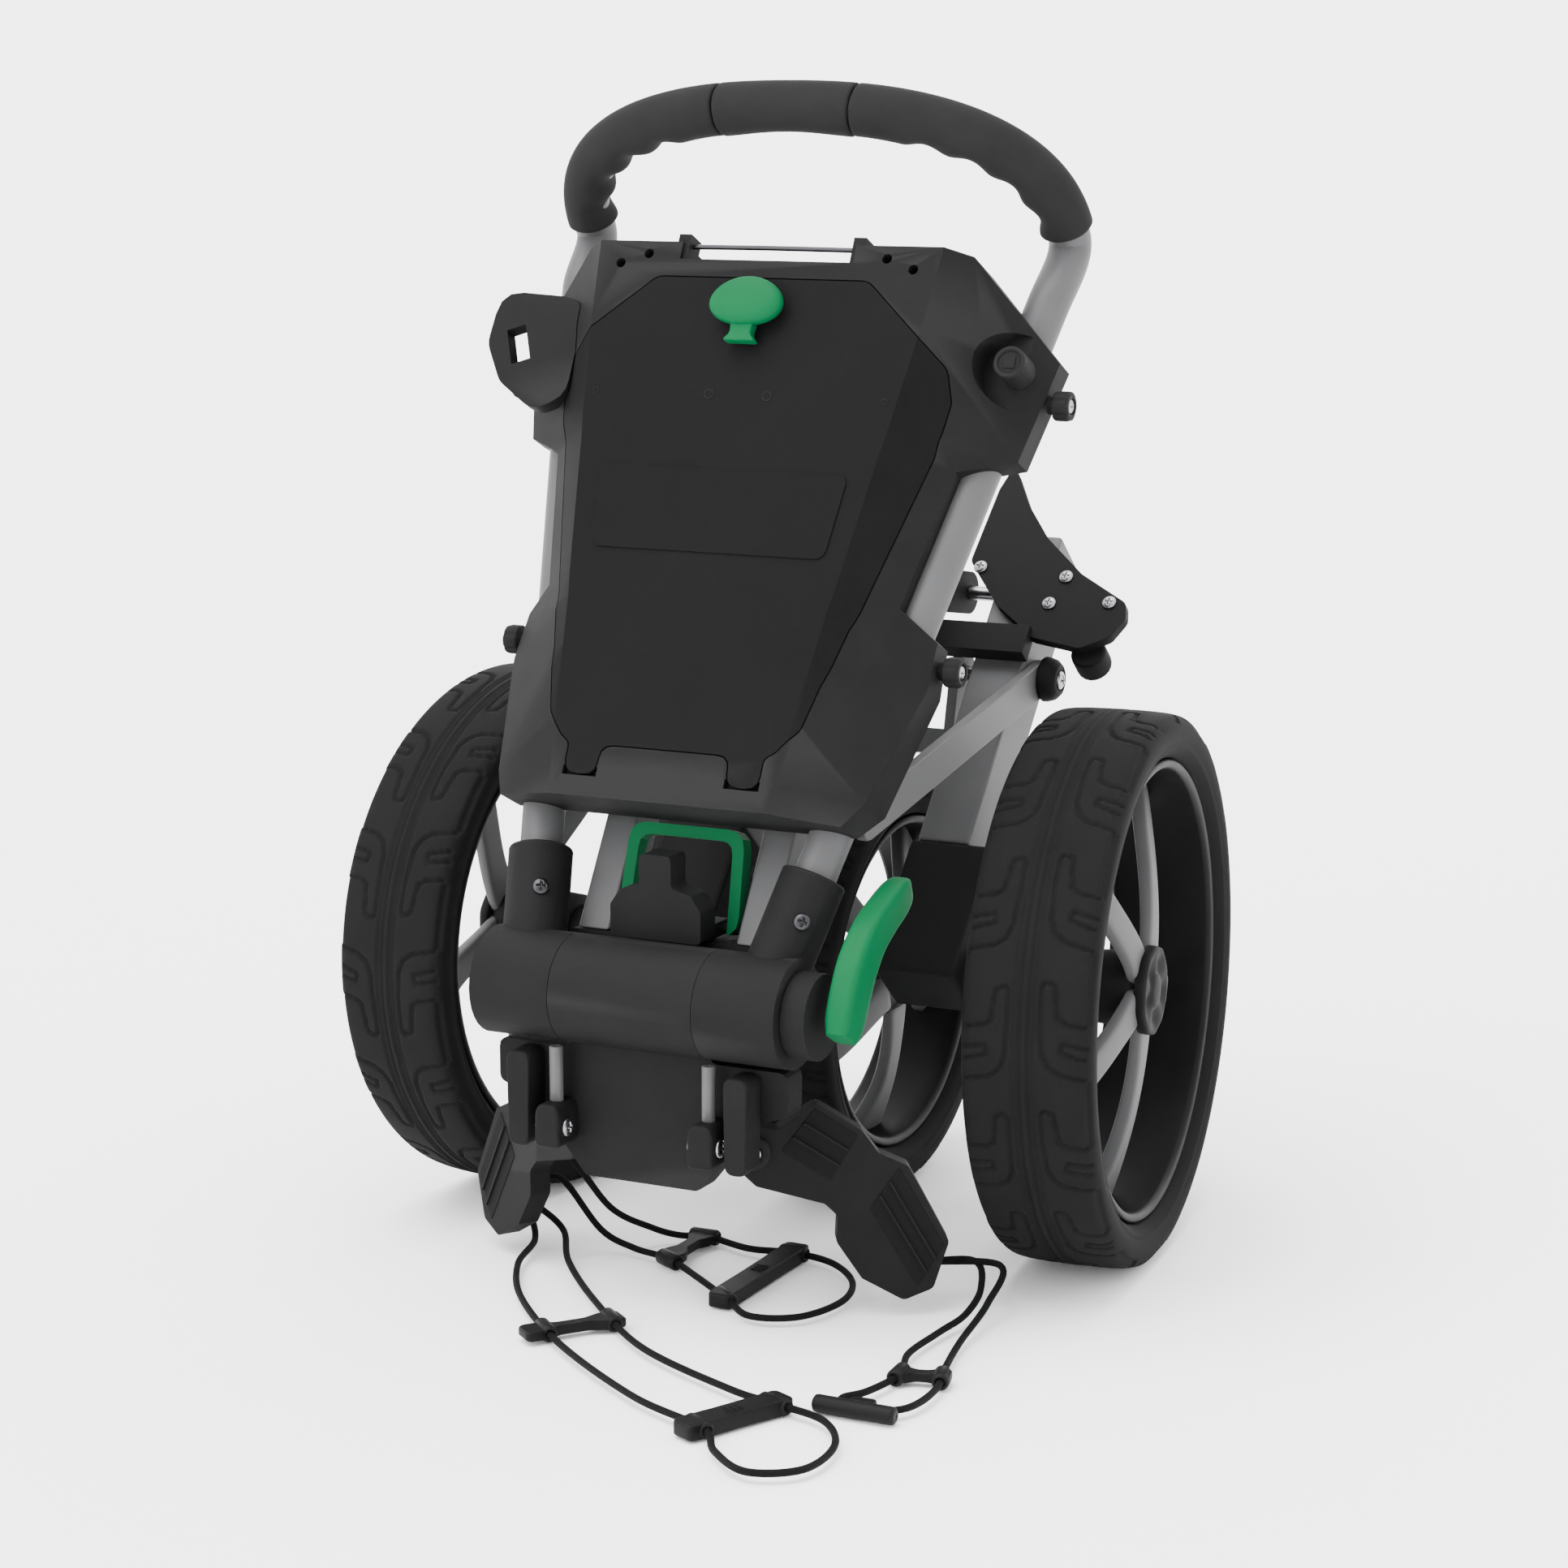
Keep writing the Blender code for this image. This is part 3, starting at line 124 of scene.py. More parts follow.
def unit(vector: Sequence[float] | Array) -> Array:
    """Scale a vector, or each row of an array of them, to length one."""
    vector = np.asarray(vector, float)
    return vector / np.linalg.norm(vector, axis=-1, keepdims=True)


@dataclass(frozen=True)
class Frame3:
    """A local frame: an origin and three unit axes, as numpy arrays."""

    origin: Array
    x: Array
    y: Array
    z: Array

    def at(self, points: Sequence[float] | Array) -> Array:
        """Points of this frame, in the cart's frame.

        Args:
            points: local points, in the last axis of an array.

        Returns:
            The same points in the cart's frame.
        """
        points = np.asarray(points, float)
        axes = np.stack((self.x, self.y, self.z))
        return self.origin + points @ axes

    def moved(self, offset: Sequence[float]) -> Frame3:
        """The same axes at a local offset."""
        return Frame3(self.at(offset), self.x, self.y, self.z)

    def matrix(self) -> Matrix:
        """The frame as a Blender matrix."""
        columns = Matrix([list(self.x), list(self.y), list(self.z)]).transposed()
        return Matrix.Translation(Vector(self.origin)) @ columns.to_4x4()


def make_frame3(origin: Sequence[float] | Array, z: Sequence[float] | Array, hint: Sequence[float] | Array) -> Frame3:
    """A frame whose third axis is z and whose first leans towards hint.

    Args:
        origin: its origin.
        z: the direction of its third axis.
        hint: a direction that isn't along z.

    Returns:
        The frame, right-handed.
    """
    z = unit(z)
    x = unit(np.asarray(hint, float) - z * np.dot(hint, z))
    return Frame3(np.asarray(origin, float), x, np.cross(z, x), z)


CONSOLE_UP = np.array((0.0, math.sin(CONSOLE_LEAN), math.cos(CONSOLE_LEAN)))
CONSOLE_OUT = np.array((0.0, -math.cos(CONSOLE_LEAN), math.sin(CONSOLE_LEAN)))
CONSOLE = Frame3(CONSOLE_FOOT, np.array((1.0, 0.0, 0.0)), CONSOLE_UP, CONSOLE_OUT)


# --- Meshes -------------------------------------------------------------------


def mesh_object(name: str, mesh: bpy.types.Mesh) -> bpy.types.Object:
    """Link a mesh as a smooth-shaded object at the origin."""
    mesh.shade_smooth()
    obj = bpy.data.objects.new(name, mesh)
    bpy.context.scene.collection.objects.link(obj)
    return obj


def build(name: str, points: Array, faces: Array, uv: Array | None = None) -> bpy.types.Object:
    """A mesh object from an array of points and one of quads.

    Args:
        name: the object's name.
        points: (n, 3) places in the cart's frame.
        faces: (f, 4) point numbers; a triangle repeats its last one.
        uv: (f, 4, 2) coordinates of the faces' corners, if any.

    Returns:
        The object, its normals facing outwards.
    """
    mesh = bpy.data.meshes.new(name)
    mesh.from_pydata(points, [], faces)
    if uv is not None:
        layer = mesh.uv_layers.new(name="along")
        layer.data.foreach_set("uv", uv.reshape(-1).astype(np.float32))
    mesh.validate()
    bm = bmesh.new()
    bm.from_mesh(mesh)
    bmesh.ops.remove_doubles(bm, verts=bm.verts, dist=2e-6)
    bmesh.ops.recalc_face_normals(bm, faces=bm.faces)
    if bm.calc_volume(signed=True) < 0:
        bmesh.ops.reverse_faces(bm, faces=bm.faces)
    bm.to_mesh(mesh)
    bm.free()
    return mesh_object(name, mesh)


def grid_faces(rows: int, columns: int, wrap_rows: bool, wrap_columns: bool) -> Array:
    """The quads of a grid of points, as an (f, 4) array of point numbers."""
    r = np.arange(rows if wrap_rows else rows - 1)
    c = np.arange(columns if wrap_columns else columns - 1)
    r, c = np.meshgrid(r, c, indexing="ij")
    r2, c2 = (r + 1) % rows, (c + 1) % columns
    quads = np.stack((r * columns + c, r2 * columns + c, r2 * columns + c2, r * columns + c2), axis=-1)
    return quads.reshape(-1, 4)


def skin(name: str, grid: Array, closed_rows: bool = False, closed_columns: bool = True) -> bpy.types.Object:
    """A closed surface over a grid of points, its open ends drawn in to a point.

    Args:
        name: the object's name.
        grid: (rows, columns, 3) points.
        closed_rows: the last row joins the first, as round a ring.
        closed_columns: the last column joins the first, as round a tube.

    Returns:
        The object.
    """
    if not closed_rows:
        first = np.broadcast_to(grid[0].mean(axis=0), grid[0].shape)
        last = np.broadcast_to(grid[-1].mean(axis=0), grid[-1].shape)
        grid = np.concatenate((first[None], grid, last[None]))
    rows, columns = grid.shape[:2]
    faces = grid_faces(rows, columns, closed_rows, closed_columns)
    obj = build(name, grid.reshape(-1, 3), faces)
    if not closed_rows:
        flatten_caps(obj, grid[0, 0], grid[-1, 0])
    return obj


def flatten_caps(obj: bpy.types.Object, *centres: Array) -> None:
    """Shade the faces that meet at the given points flat, so that a cap looks flat to its rim."""
    for face in obj.data.polygons:
        for corner in face.vertices:
            if any(np.linalg.norm(np.array(obj.data.vertices[corner].co) - c) < 4e-6 for c in centres):
                face.use_smooth = False
                break


def turned(name: str, frame: Frame3, profile: Sequence[tuple[float, float]], steps: int = 64) -> bpy.types.Object:
    """A closed (along, radius) profile turned about the frame's third axis.

    Each point is origin + along * z + radius * (cos a * x + sin a * y).

    Args:
        name: the object's name.
        frame: its third axis is the axis of the turn.
        profile: the points of the profile, in order.
        steps: points round the turn.

    Returns:
        The object, a ring, or a solid where the profile touches the axis.
    """
    angle = np.linspace(0, 2 * math.pi, steps, endpoint=False)[:, None]
    along = np.array([p[0] for p in profile])[None, :]
    radius = np.array([p[1] for p in profile])[None, :]
    local = np.stack((radius * np.cos(angle), radius * np.sin(angle), along + 0 * angle), axis=-1)
    return build(name, frame.at(local).reshape(-1, 3), grid_faces(steps, len(profile), True, True))


def sweep_grid(path: Array, offsets: Array, hint: Sequence[float]) -> Array:
    """Rings of offsets carried along a path.

    A ring's axes at a path point are s = hint x tangent and u = tangent x s.

    Args:
        path: (n, 3) points of the path.
        offsets: (n or 1, m, 2) offsets along s and u of each ring's points.
        hint: a direction that the path never runs along.

    Returns:
        (n, m, 3) points.
    """
    tangent = unit(np.gradient(path, axis=0))
    s = unit(np.cross(np.asarray(hint, float), tangent))
    u = np.cross(tangent, s)
    return path[:, None] + offsets[..., :1] * s[:, None] + offsets[..., 1:] * u[:, None]


def circle(radius: float | Array, sides: int) -> Array:
    """Offsets of a round ring; an array of radii gives a ring for each."""
    angle = np.linspace(0, 2 * math.pi, sides, endpoint=False)
    ring = np.stack((np.cos(angle), np.sin(angle)), axis=-1)
    return np.asarray(radius, float).reshape(-1, 1, 1) * ring[None]


def curve_through(points: Sequence[Sequence[float]] | Array, per: int) -> Array:
    """A Catmull-Rom curve through points, with a number of steps between each two."""
    p = np.asarray(points, float)
    p = np.concatenate((p[:1] * 2 - p[1:2], p, p[-1:] * 2 - p[-2:-1]))
    t = (np.arange(per) / per)[None, :, None]
    a, b, c, d = p[:-3, None], p[1:-2, None], p[2:-1, None], p[3:, None]
    run = 0.5 * (2 * b + (c - a) * t + (2 * a - 5 * b + 4 * c - d) * t**2 + (3 * b - a - 3 * c + d) * t**3)
    return np.concatenate((run.reshape(-1, p.shape[1]), p[-2:-1]))


def length_of(path: Array) -> float:
    """The length of a path."""
    return float(np.linalg.norm(np.diff(path, axis=0), axis=1).sum())


def resampled(path: Array, count: int) -> Array:
    """The same path with evenly spaced points."""
    run = np.concatenate(([0], np.cumsum(np.linalg.norm(np.diff(path, axis=0), axis=1))))
    wanted = np.linspace(0, run[-1], count)
    return np.stack([np.interp(wanted, run, path[:, k]) for k in range(path.shape[1])], axis=-1)


def rounded_outline(corners: Sequence[Sequence[float]], radius: float, steps: int = 6) -> Array:
    """An outline whose corners are drawn in to curves of about a radius."""
    p = np.asarray(corners, float)
    before, after = np.roll(p, 1, axis=0) - p, np.roll(p, -1, axis=0) - p
    reach_b = np.minimum(radius, 0.45 * np.linalg.norm(before, axis=1))[:, None]
    reach_a = np.minimum(radius, 0.45 * np.linalg.norm(after, axis=1))[:, None]
    first, last = p + unit(before) * reach_b, p + unit(after) * reach_a
    t = np.linspace(0, 1, steps)[None, :, None]
    run = first[:, None] * (1 - t) ** 2 + p[:, None] * 2 * t * (1 - t) + last[:, None] * t**2
    return run.reshape(-1, 2)


def slab(name: str, frame: Frame3, outline: Array, height: float, edge: float) -> bpy.types.Object:
    """A flat piece of an outline with softened upper and lower rims.

    The outline is drawn in towards its middle by edge at both faces.

    Args:
        name: the object's name.
        frame: the outline lies in its first two axes.
        outline: (n, 2) points.
        height: thickness along the third axis, upwards from 0.
        edge: how far the rims are rounded.

    Returns:
        The object.
    """
    angle = np.linspace(0, math.pi / 2, 4)
    rise = np.concatenate((edge * (1 - np.cos(angle)), height - edge * (1 - np.cos(angle[::-1]))))
    draw = np.concatenate((edge * (1 - np.sin(angle)), edge * (1 - np.sin(angle[::-1]))))
    centre = outline.mean(axis=0)
    spokes = outline - centre
    scale = 1 - draw[:, None, None] / np.linalg.norm(spokes, axis=1)[None, :, None]
    flat = centre + spokes[None] * scale
    grid = np.concatenate((flat, np.broadcast_to(rise[:, None, None], (*flat.shape[:2], 1))), axis=-1)
    return skin(name, frame.at(grid))


# --- Finishes -----------------------------------------------------------------


class Grain(Enum):
    """What a finish's fine relief is made of."""

    MOULDED = "moulded"
    PAINTED = "painted"
    BRUSHED = "brushed"
    FOAM = "foam"
    BRAID = "braid"
    NET = "net"


@dataclass(frozen=True)
class Finish:
    """A surface finish, built as a node material.

    Colour and roughness drift with a soft noise, sharp edges get a painted
    highlight of paler colour, and a fine noise or weave gives the relief.
    """

    name: str
    colour: tuple[float, float, float]
    roughness: float
    metallic: float = 0.0
    grain: Grain = Grain.MOULDED
    grain_size: float = 0.0006
    grain_depth: float = 0.00002
    drift: float = 0.12
    # strength of the painted highlight: a paler colour on sharp edges
    edge_highlight: float = 0.35
    coat: float = 0.0
    specular: float = 0.08

    def build(self) -> bpy.types.Material:
        """Make the material.

        Returns:
            A node material on Object coordinates or the piece's own UV map.
        """
        material = bpy.data.materials.new(self.name)
        material.use_nodes = True
        tree = material.node_tree
        shader = tree.nodes["Principled BSDF"]
        shader.inputs["Metallic"].default_value = self.metallic
        shader.inputs["Specular IOR Level"].default_value = self.specular
        shader.inputs["Coat Weight"].default_value = self.coat
        shader.inputs["Coat Roughness"].default_value = 0.25
        where = tree.nodes.new("ShaderNodeTexCoord")
        mottle = self._noise(tree, where.outputs["Object"], 38.0, 4.0)
        colour = self._colour(tree, mottle)
        tree.links.new(colour, shader.inputs["Base Color"])
        rough = tree.nodes.new("ShaderNodeMapRange")
        rough.inputs["To Min"].default_value = max(self.roughness - 0.07, 0.02)
        rough.inputs["To Max"].default_value = min(self.roughness + 0.07, 1.0)
        tree.links.new(mottle, rough.inputs["Value"])
        tree.links.new(rough.outputs["Result"], shader.inputs["Roughness"])
        bump = tree.nodes.new("ShaderNodeBump")
        bump.inputs["Strength"].default_value = 1.0
        bump.inputs["Distance"].default_value = self.grain_depth
        tree.links.new(self._relief(tree, where), bump.inputs["Height"])
        tree.links.new(bump.outputs["Normal"], shader.inputs["Normal"])
        return material

    def _colour(self, tree: bpy.types.NodeTree, mottle: bpy.types.NodeSocket) -> bpy.types.NodeSocket:
        """The drifting base colour, with a painted highlight of paler colour on sharp edges."""
        ramp = tree.nodes.new("ShaderNodeValToRGB")
        low, high = (tuple(c * (1 + k * self.drift) for c in self.colour) for k in (-1, 1))
        ramp.color_ramp.elements[0].position = 0.3
        ramp.color_ramp.elements[1].position = 0.7
        ramp.color_ramp.elements[0].color = (*low, 1)
        ramp.color_ramp.elements[1].color = (*high, 1)
        tree.links.new(mottle, ramp.inputs["Fac"])
        # Painted highlight: where Pointiness marks a sharp edge, a paler copy of the colour is mixed in.
        if not self.edge_highlight:
            return ramp.outputs["Color"]
        place = tree.nodes.new("ShaderNodeNewGeometry")
        edge = tree.nodes.new("ShaderNodeMapRange")
        edge.inputs["From Min"].default_value = 0.53
        edge.inputs["From Max"].default_value = 0.62
        edge.inputs["To Max"].default_value = self.edge_highlight
        tree.links.new(place.outputs["Pointiness"], edge.inputs["Value"])
        mix = tree.nodes.new("ShaderNodeMix")
        mix.data_type = "RGBA"
        highlight_colour = tuple(min(c * 1.7 + 0.01, 1) for c in self.colour)
        mix.inputs["B"].default_value = (*highlight_colour, 1)
        tree.links.new(edge.outputs["Result"], mix.inputs["Factor"])
        tree.links.new(ramp.outputs["Color"], mix.inputs["A"])
        return mix.outputs["Result"]

    def _relief(self, tree: bpy.types.NodeTree, where: bpy.types.Node) -> bpy.types.NodeSocket:
        """The height of the fine relief."""
        place = where.outputs["Object"]
        if self.grain in (Grain.BRAID, Grain.NET):
            return self._weave(tree, where.outputs["UV"])
        if self.grain is Grain.BRUSHED:
            stretch = tree.nodes.new("ShaderNodeMapping")
            stretch.inputs["Scale"].default_value = (1.0, 0.08, 0.08)
            tree.links.new(place, stretch.inputs["Vector"])
            place = stretch.outputs["Vector"]
        detail = {Grain.FOAM: 6.0, Grain.PAINTED: 2.0}.get(self.grain, 4.0)
        return self._noise(tree, place, 1 / self.grain_size, detail)

    @staticmethod
    def _weave(tree: bpy.types.NodeTree, place: bpy.types.NodeSocket) -> bpy.types.NodeSocket:
        """Crossing diagonal strands: the larger of two slanted wave patterns."""
        waves = []
        for slant in (0.7, -0.7):
            turn = tree.nodes.new("ShaderNodeMapping")
            turn.inputs["Rotation"].default_value = (0, 0, slant)
            wave = tree.nodes.new("ShaderNodeTexWave")
            wave.inputs["Scale"].default_value = 1.0
            tree.links.new(place, turn.inputs["Vector"])
            tree.links.new(turn.outputs["Vector"], wave.inputs["Vector"])
            waves.append(wave.outputs["Fac"])
        top = tree.nodes.new("ShaderNodeMath")
        top.operation = "MAXIMUM"
        tree.links.new(waves[0], top.inputs[0])
        tree.links.new(waves[1], top.inputs[1])
        return top.outputs["Value"]

    @staticmethod
    def _noise(
        tree: bpy.types.NodeTree, place: bpy.types.NodeSocket, scale: float, detail: float
    ) -> bpy.types.NodeSocket:
        """A noise texture's value."""
        noise = tree.nodes.new("ShaderNodeTexNoise")
        noise.inputs["Scale"].default_value = scale
        noise.inputs["Detail"].default_value = detail
        tree.links.new(place, noise.inputs["Vector"])
        return noise.outputs["Fac"]


FINISHES = {
    "charcoal_plastic": Finish("charcoal_plastic", (0.0066, 0.0066, 0.0069), 0.64, specular=0.06),
    "lid_plastic": Finish("lid_plastic", (0.0038, 0.0038, 0.0039), 0.7, edge_highlight=0.2, specular=0.05),
    "dark_plastic": Finish("dark_plastic", (0.0036, 0.0036, 0.0038), 0.5),
    "grey_tube": Finish("grey_tube", (0.075, 0.075, 0.077), 0.45, 0.2, Grain.PAINTED, 0.0009, 0.000008, 0.05, 0.2),
    "bright_steel": Finish("bright_steel", (0.26, 0.26, 0.27), 0.30, 1.0, Grain.BRUSHED, 0.0004, 0.000004, 0.05, 0.0),
    "dark_steel": Finish("dark_steel", (0.04, 0.04, 0.043), 0.34, 1.0, Grain.BRUSHED, 0.0004, 0.000004, 0.05, 0.0),
    "tyre_rubber": Finish("tyre_rubber", (0.0060, 0.0060, 0.0062), 0.82, grain=Grain.FOAM, grain_depth=0.00003,
                          specular=0.05),
    "soft_rubber": Finish("soft_rubber", (0.0045, 0.0045, 0.0045), 0.8, grain=Grain.FOAM),
    "grip_foam": Finish("grip_foam", (0.0105, 0.0105, 0.0108), 0.85, grain=Grain.FOAM, grain_depth=0.00004, edge_highlight=0.1),
    "green_plastic": Finish("green_plastic", (0.0008, 0.078, 0.026), 0.5, grain_depth=0.000008, drift=0.04, edge_highlight=0.06,
                            specular=0.05),
    "rim_plastic": Finish("rim_plastic", (0.070, 0.070, 0.072), 0.5, edge_highlight=0.2, drift=0.06),
    "black_net": Finish("black_net", (0.0035, 0.0035, 0.0035), 0.85, grain=Grain.NET, grain_depth=0.0006, edge_highlight=0.0),
    "black_elastic": Finish("black_elastic", (0.0040, 0.0040, 0.0040), 0.75, grain=Grain.BRAID, grain_depth=0.00025,
                            edge_highlight=0.0),
}


class Workshop:
    """Holds the loaded frame and finishes, and puts pieces on the cart."""

    def __init__(self) -> None:
        """Load the frame and build every finish."""
        self.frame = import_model()
        self.cad_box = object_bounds()
        self.materials = {name: finish.build() for name, finish in FINISHES.items()}
        self.slots = {entry["node"]: entry["material_slot"] for entry in self.frame["record"]["subparts"]}

    def node(self, name: str) -> bpy.types.Object:
        """A CAD node's object."""
        return self.frame["nodes"][name]

    def body(self, node: str) -> str:
        """The body that a CAD node rides on."""
        return self.node(node)["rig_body"]

    def dress(
        self,
        obj: bpy.types.Object,
        finish: str,
        body: str,
        slot: str = "",
        stands_for: Sequence[str] = (),
    ) -> bpy.types.Object:
        """Give a new piece its finish, its body and the nodes that it stands for.

        Args:
            obj: the piece.
            finish: a name of FINISHES.
            body: the CAD body that it moves with.
            slot: not used.
            stands_for: CAD nodes that it replaces.

        Returns:
            The piece.
        """
        obj.data.materials.clear()
        obj.data.materials.append(self.materials[finish])
        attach(obj, body)
        if stands_for:
            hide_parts(*stands_for)
        LOG.info("%s rides on %s", obj.name, body)
        return obj

    def round_edges(self, node: str, width: float, finish: str = "", segments: int = 3) -> bpy.types.Object:
        """Replace a node by its own shape with softly rounded edges.

        Args:
            node: the CAD node.
            width: how far the rounding reaches from each edge.
            finish: a name of FINISHES, if not the node's own slot.
            segments: steps of the rounding.

        Returns:
            The new piece.
        """
        mesh = self.node(node).data.copy()
        bm = bmesh.new()
        bm.from_mesh(mesh)
        bmesh.ops.remove_doubles(bm, verts=bm.verts, dist=1e-5)
        bmesh.ops.dissolve_limit(bm, angle_limit=math.radians(1.0), verts=bm.verts, edges=bm.edges)
        bm.to_mesh(mesh)
        bm.free()
        obj = mesh_object(f"{node}_shell", mesh)
        bevel = obj.modifiers.new("rounding", "BEVEL")
        bevel.width = width
        bevel.segments = segments
        bevel.limit_method = "ANGLE"
        bevel.angle_limit = math.radians(28)
        bevel.use_clamp_overlap = True
        normals = obj.modifiers.new("normals", "WEIGHTED_NORMAL")
        normals.keep_sharp = True
        slot = self.slots[node]
        return self.dress(obj, finish or slot, self.body(node), slot, [node])


# --- Small hardware --------------------------------------------------------------


def screw_head(name: str, frame: Frame3, radius: float) -> bpy.types.Object:
    """A domed screw head with a cross recess, its top along the frame's third axis.

    The height over radius r and angle a is a flattened dome, dropped inside two
    crossing slots near the middle.

    Args:
        name: the object's name.
        frame: its origin is on the seat, its third axis points out.
        radius: the head's radius.

    Returns:
        The object.
    """
    angle = np.linspace(0, 2 * math.pi, 48, endpoint=False)[None, :]
    r = np.concatenate((np.linspace(0.02, 1, 14), [1.0]))[:, None]
    x, y = r * np.cos(angle), r * np.sin(angle)
    dome = 0.62 * np.sqrt(np.clip(1 - 0.75 * r**2, 0, 1)) + 0 * angle
    arm = np.minimum(np.abs(x), np.abs(y))
    reach = np.maximum(np.abs(x), np.abs(y))
    slot = np.clip((0.15 - arm) / 0.05, 0, 1) * np.clip((0.62 - reach) / 0.08, 0, 1)
    height = dome - 0.38 * slot
    height[-1] = 0.0
    grid = np.stack((x * radius, y * radius, height * radius), axis=-1)
    return skin(name, frame.at(grid))


def dome(name: str, frame: Frame3, radius: float, height: float, square: float = 3.0) -> bpy.types.Object:
    """A rounded button whose height falls off as (1 - r^square)^(1/square)."""
    r = np.sin(np.linspace(0.02, math.pi / 2, 14))
    rise = height * (1 - r**square) ** (1 / square)
    profile = [(0.0, radius), *zip(rise[::-1], r[::-1] * radius, strict=True), (height, 0.0002), (0.0, 0.0002)]
    return turned(name, frame, profile, 40)


# --- Wheels -------------------------------------------------------------------


@dataclass
class Wheel:
    """A wheel: a treaded tyre on a deep dark rim with five bent grey spokes."""

    side: str
    frame: Frame3  # third axis along the axle, out of the cart
    radius: float
    width: float
    pitches: int
    spoke_phase: float
    spokes: int = 5
    groove: float = 0.0017
    shop: Workshop = field(repr=False, default=None)

    def build(self) -> None:
        """Make the tyre, the rim, the spokes and the hub."""
        self.tyre()
        self.rim()
        self.hub()

    def _section(self) -> Array:
        """The tyre's closed section as (across, radius) points, fine over the tread."""
        seat = self.radius - TYRE_SECTION + 0.0004
        half = [(0.40, 0.02), (0.455, 0.16), (0.49, 0.38), (0.50, 0.58), (0.485, 0.78), (0.44, 0.91), (0.36, 0.965),
                (0.20, 0.992), (0.0, 1.0)]
        points = np.array([(x * self.width, seat + h * (self.radius - seat)) for x, h in half])
        crown = resampled(curve_through(points, 12), 52)
        other = crown[::-1][1:] * (-1, 1)
        return np.concatenate((crown, other))

    def _tread(self, run: Array, across: Array) -> Array:
        """How deep the tread is cut at each place.

        The depth is a smooth step of the distance to the nearest of the cut
        lines. They repeat each pitch, and are mirrored across the middle with a
        slight lead on one side.

        Args:
            run: distance round the tread.
            across: distance across it from its middle.

        Returns:
            Depths, as an array of the same shape.
        """
        pitch = 2 * math.pi * self.radius / self.pitches
        half = self.width / 2
        lines = (
            ((0.03, 0.44), (0.00, 0.30), (0.04, 0.25), (0.30, 0.25), (0.53, 0.27), (0.64, 0.36), (0.70, 0.52),
             (0.74, 0.90)),
            ((0.03, 0.44), (0.27, 0.50), (0.31, 0.62), (0.33, 0.90)),
            ((0.49, 0.92), (0.46, 0.58), (0.53, 0.56), (0.58, 0.90)),
        )
        depth = np.zeros_like(run)
        for side in (-1, 1):
            place = ((run / pitch + (TREAD_LEAD if side > 0 else 0.0)) % 1.0) * pitch
            away = side * across
            for line in lines:
                for (s0, w0), (s1, w1) in zip(line, line[1:], strict=False):
                    a = np.array((s0 * pitch, w0 * half))
                    b = np.array((s1 * pitch, w1 * half))
                    t = ((place - a[0]) * (b - a)[0] + (away - a[1]) * (b - a)[1]) / np.dot(b - a, b - a)
                    t = np.clip(t, 0, 1)
                    gap = np.hypot(place - a[0] - t * (b - a)[0], away - a[1] - t * (b - a)[1])
                    depth = np.maximum(depth, np.clip(1.7 - gap / TREAD_CUT, 0, 1))
            notch = np.clip((np.abs(place / pitch - 0.535) - 0.21) / 0.02, 0, 1)
            depth = np.maximum(depth, 0.85 * notch * np.clip((away / half - 0.88) / 0.05, 0, 1))
        centre = np.minimum(np.abs(np.abs(across) - 0.0021), np.abs(np.abs(across) - 0.0049))
        depth = np.maximum(depth, np.clip(1.6 - centre / 0.0006, 0, 1) * 0.7)
        return depth * depth * (3 - 2 * depth) * self.groove

    def tyre(self) -> None:
        """The tyre: its section turned about the axle, less the tread's cuts."""
        section = self._section()
        steps = self.pitches * (56 if self.side != "front" else 48)
        angle = np.linspace(0, 2 * math.pi, steps, endpoint=False)[:, None]
        across, radius = section[:, 0][None, :], section[:, 1][None, :]
        wall = np.clip((radius / self.radius - 0.955) / 0.02, 0, 1)
        cut = self._tread(angle * self.radius + 0 * across, across + 0 * angle) * wall
        ring = 0.0007 * np.exp(-(((radius / self.radius - 0.875) / 0.006) ** 2))
        r = radius - cut
        x = (across - np.sign(across) * cut * 0.35 * (np.abs(across) > 0.4 * self.width)) + np.sign(across) * ring
        x = np.clip(x, -self.width / 2, self.width / 2)
        local = np.stack((r * np.cos(angle), r * np.sin(angle), x), axis=-1)
        obj = build(f"tyre_{self.side}_tread", self.frame.at(local).reshape(-1, 3),
                    grid_faces(steps, len(section), True, True))
        self.shop.dress(obj, "tyre_rubber", self.shop.body(f"tyre_{self.side}"), "", [f"tyre_{self.side}"])

    def rim(self) -> None:
        """The dark barrel with rolled lips, and the bent spokes from hub to barrel."""
        seat = self.radius - TYRE_SECTION
        lip = self.width * 0.40
        profile = [
            (-lip, seat - 0.0045), (-lip - 0.0012, seat - 0.0015), (-lip, seat - 0.0002), (-lip * 0.7, seat - 0.0008),
            (0, seat - 0.0010), (lip * 0.7, seat - 0.0008), (lip, seat - 0.0002), (lip + 0.0012, seat - 0.0015),
            (lip, seat - 0.0045), (lip * 0.90, seat - 0.0052), (lip * 0.5, seat - 0.0040), (0, seat - 0.0045),
            (-lip * 0.5, seat - 0.0040), (-lip * 0.90, seat - 0.0052),
        ]
        barrel = turned(f"rim_{self.side}_barrel", self.frame, profile, 120)
        body = self.shop.body(f"rim_{self.side}")
        self.shop.dress(barrel, "dark_plastic", body, "rim_plastic", [f"rim_{self.side}"])
        for i in range(self.spokes):
            self._spoke(i, seat, body)

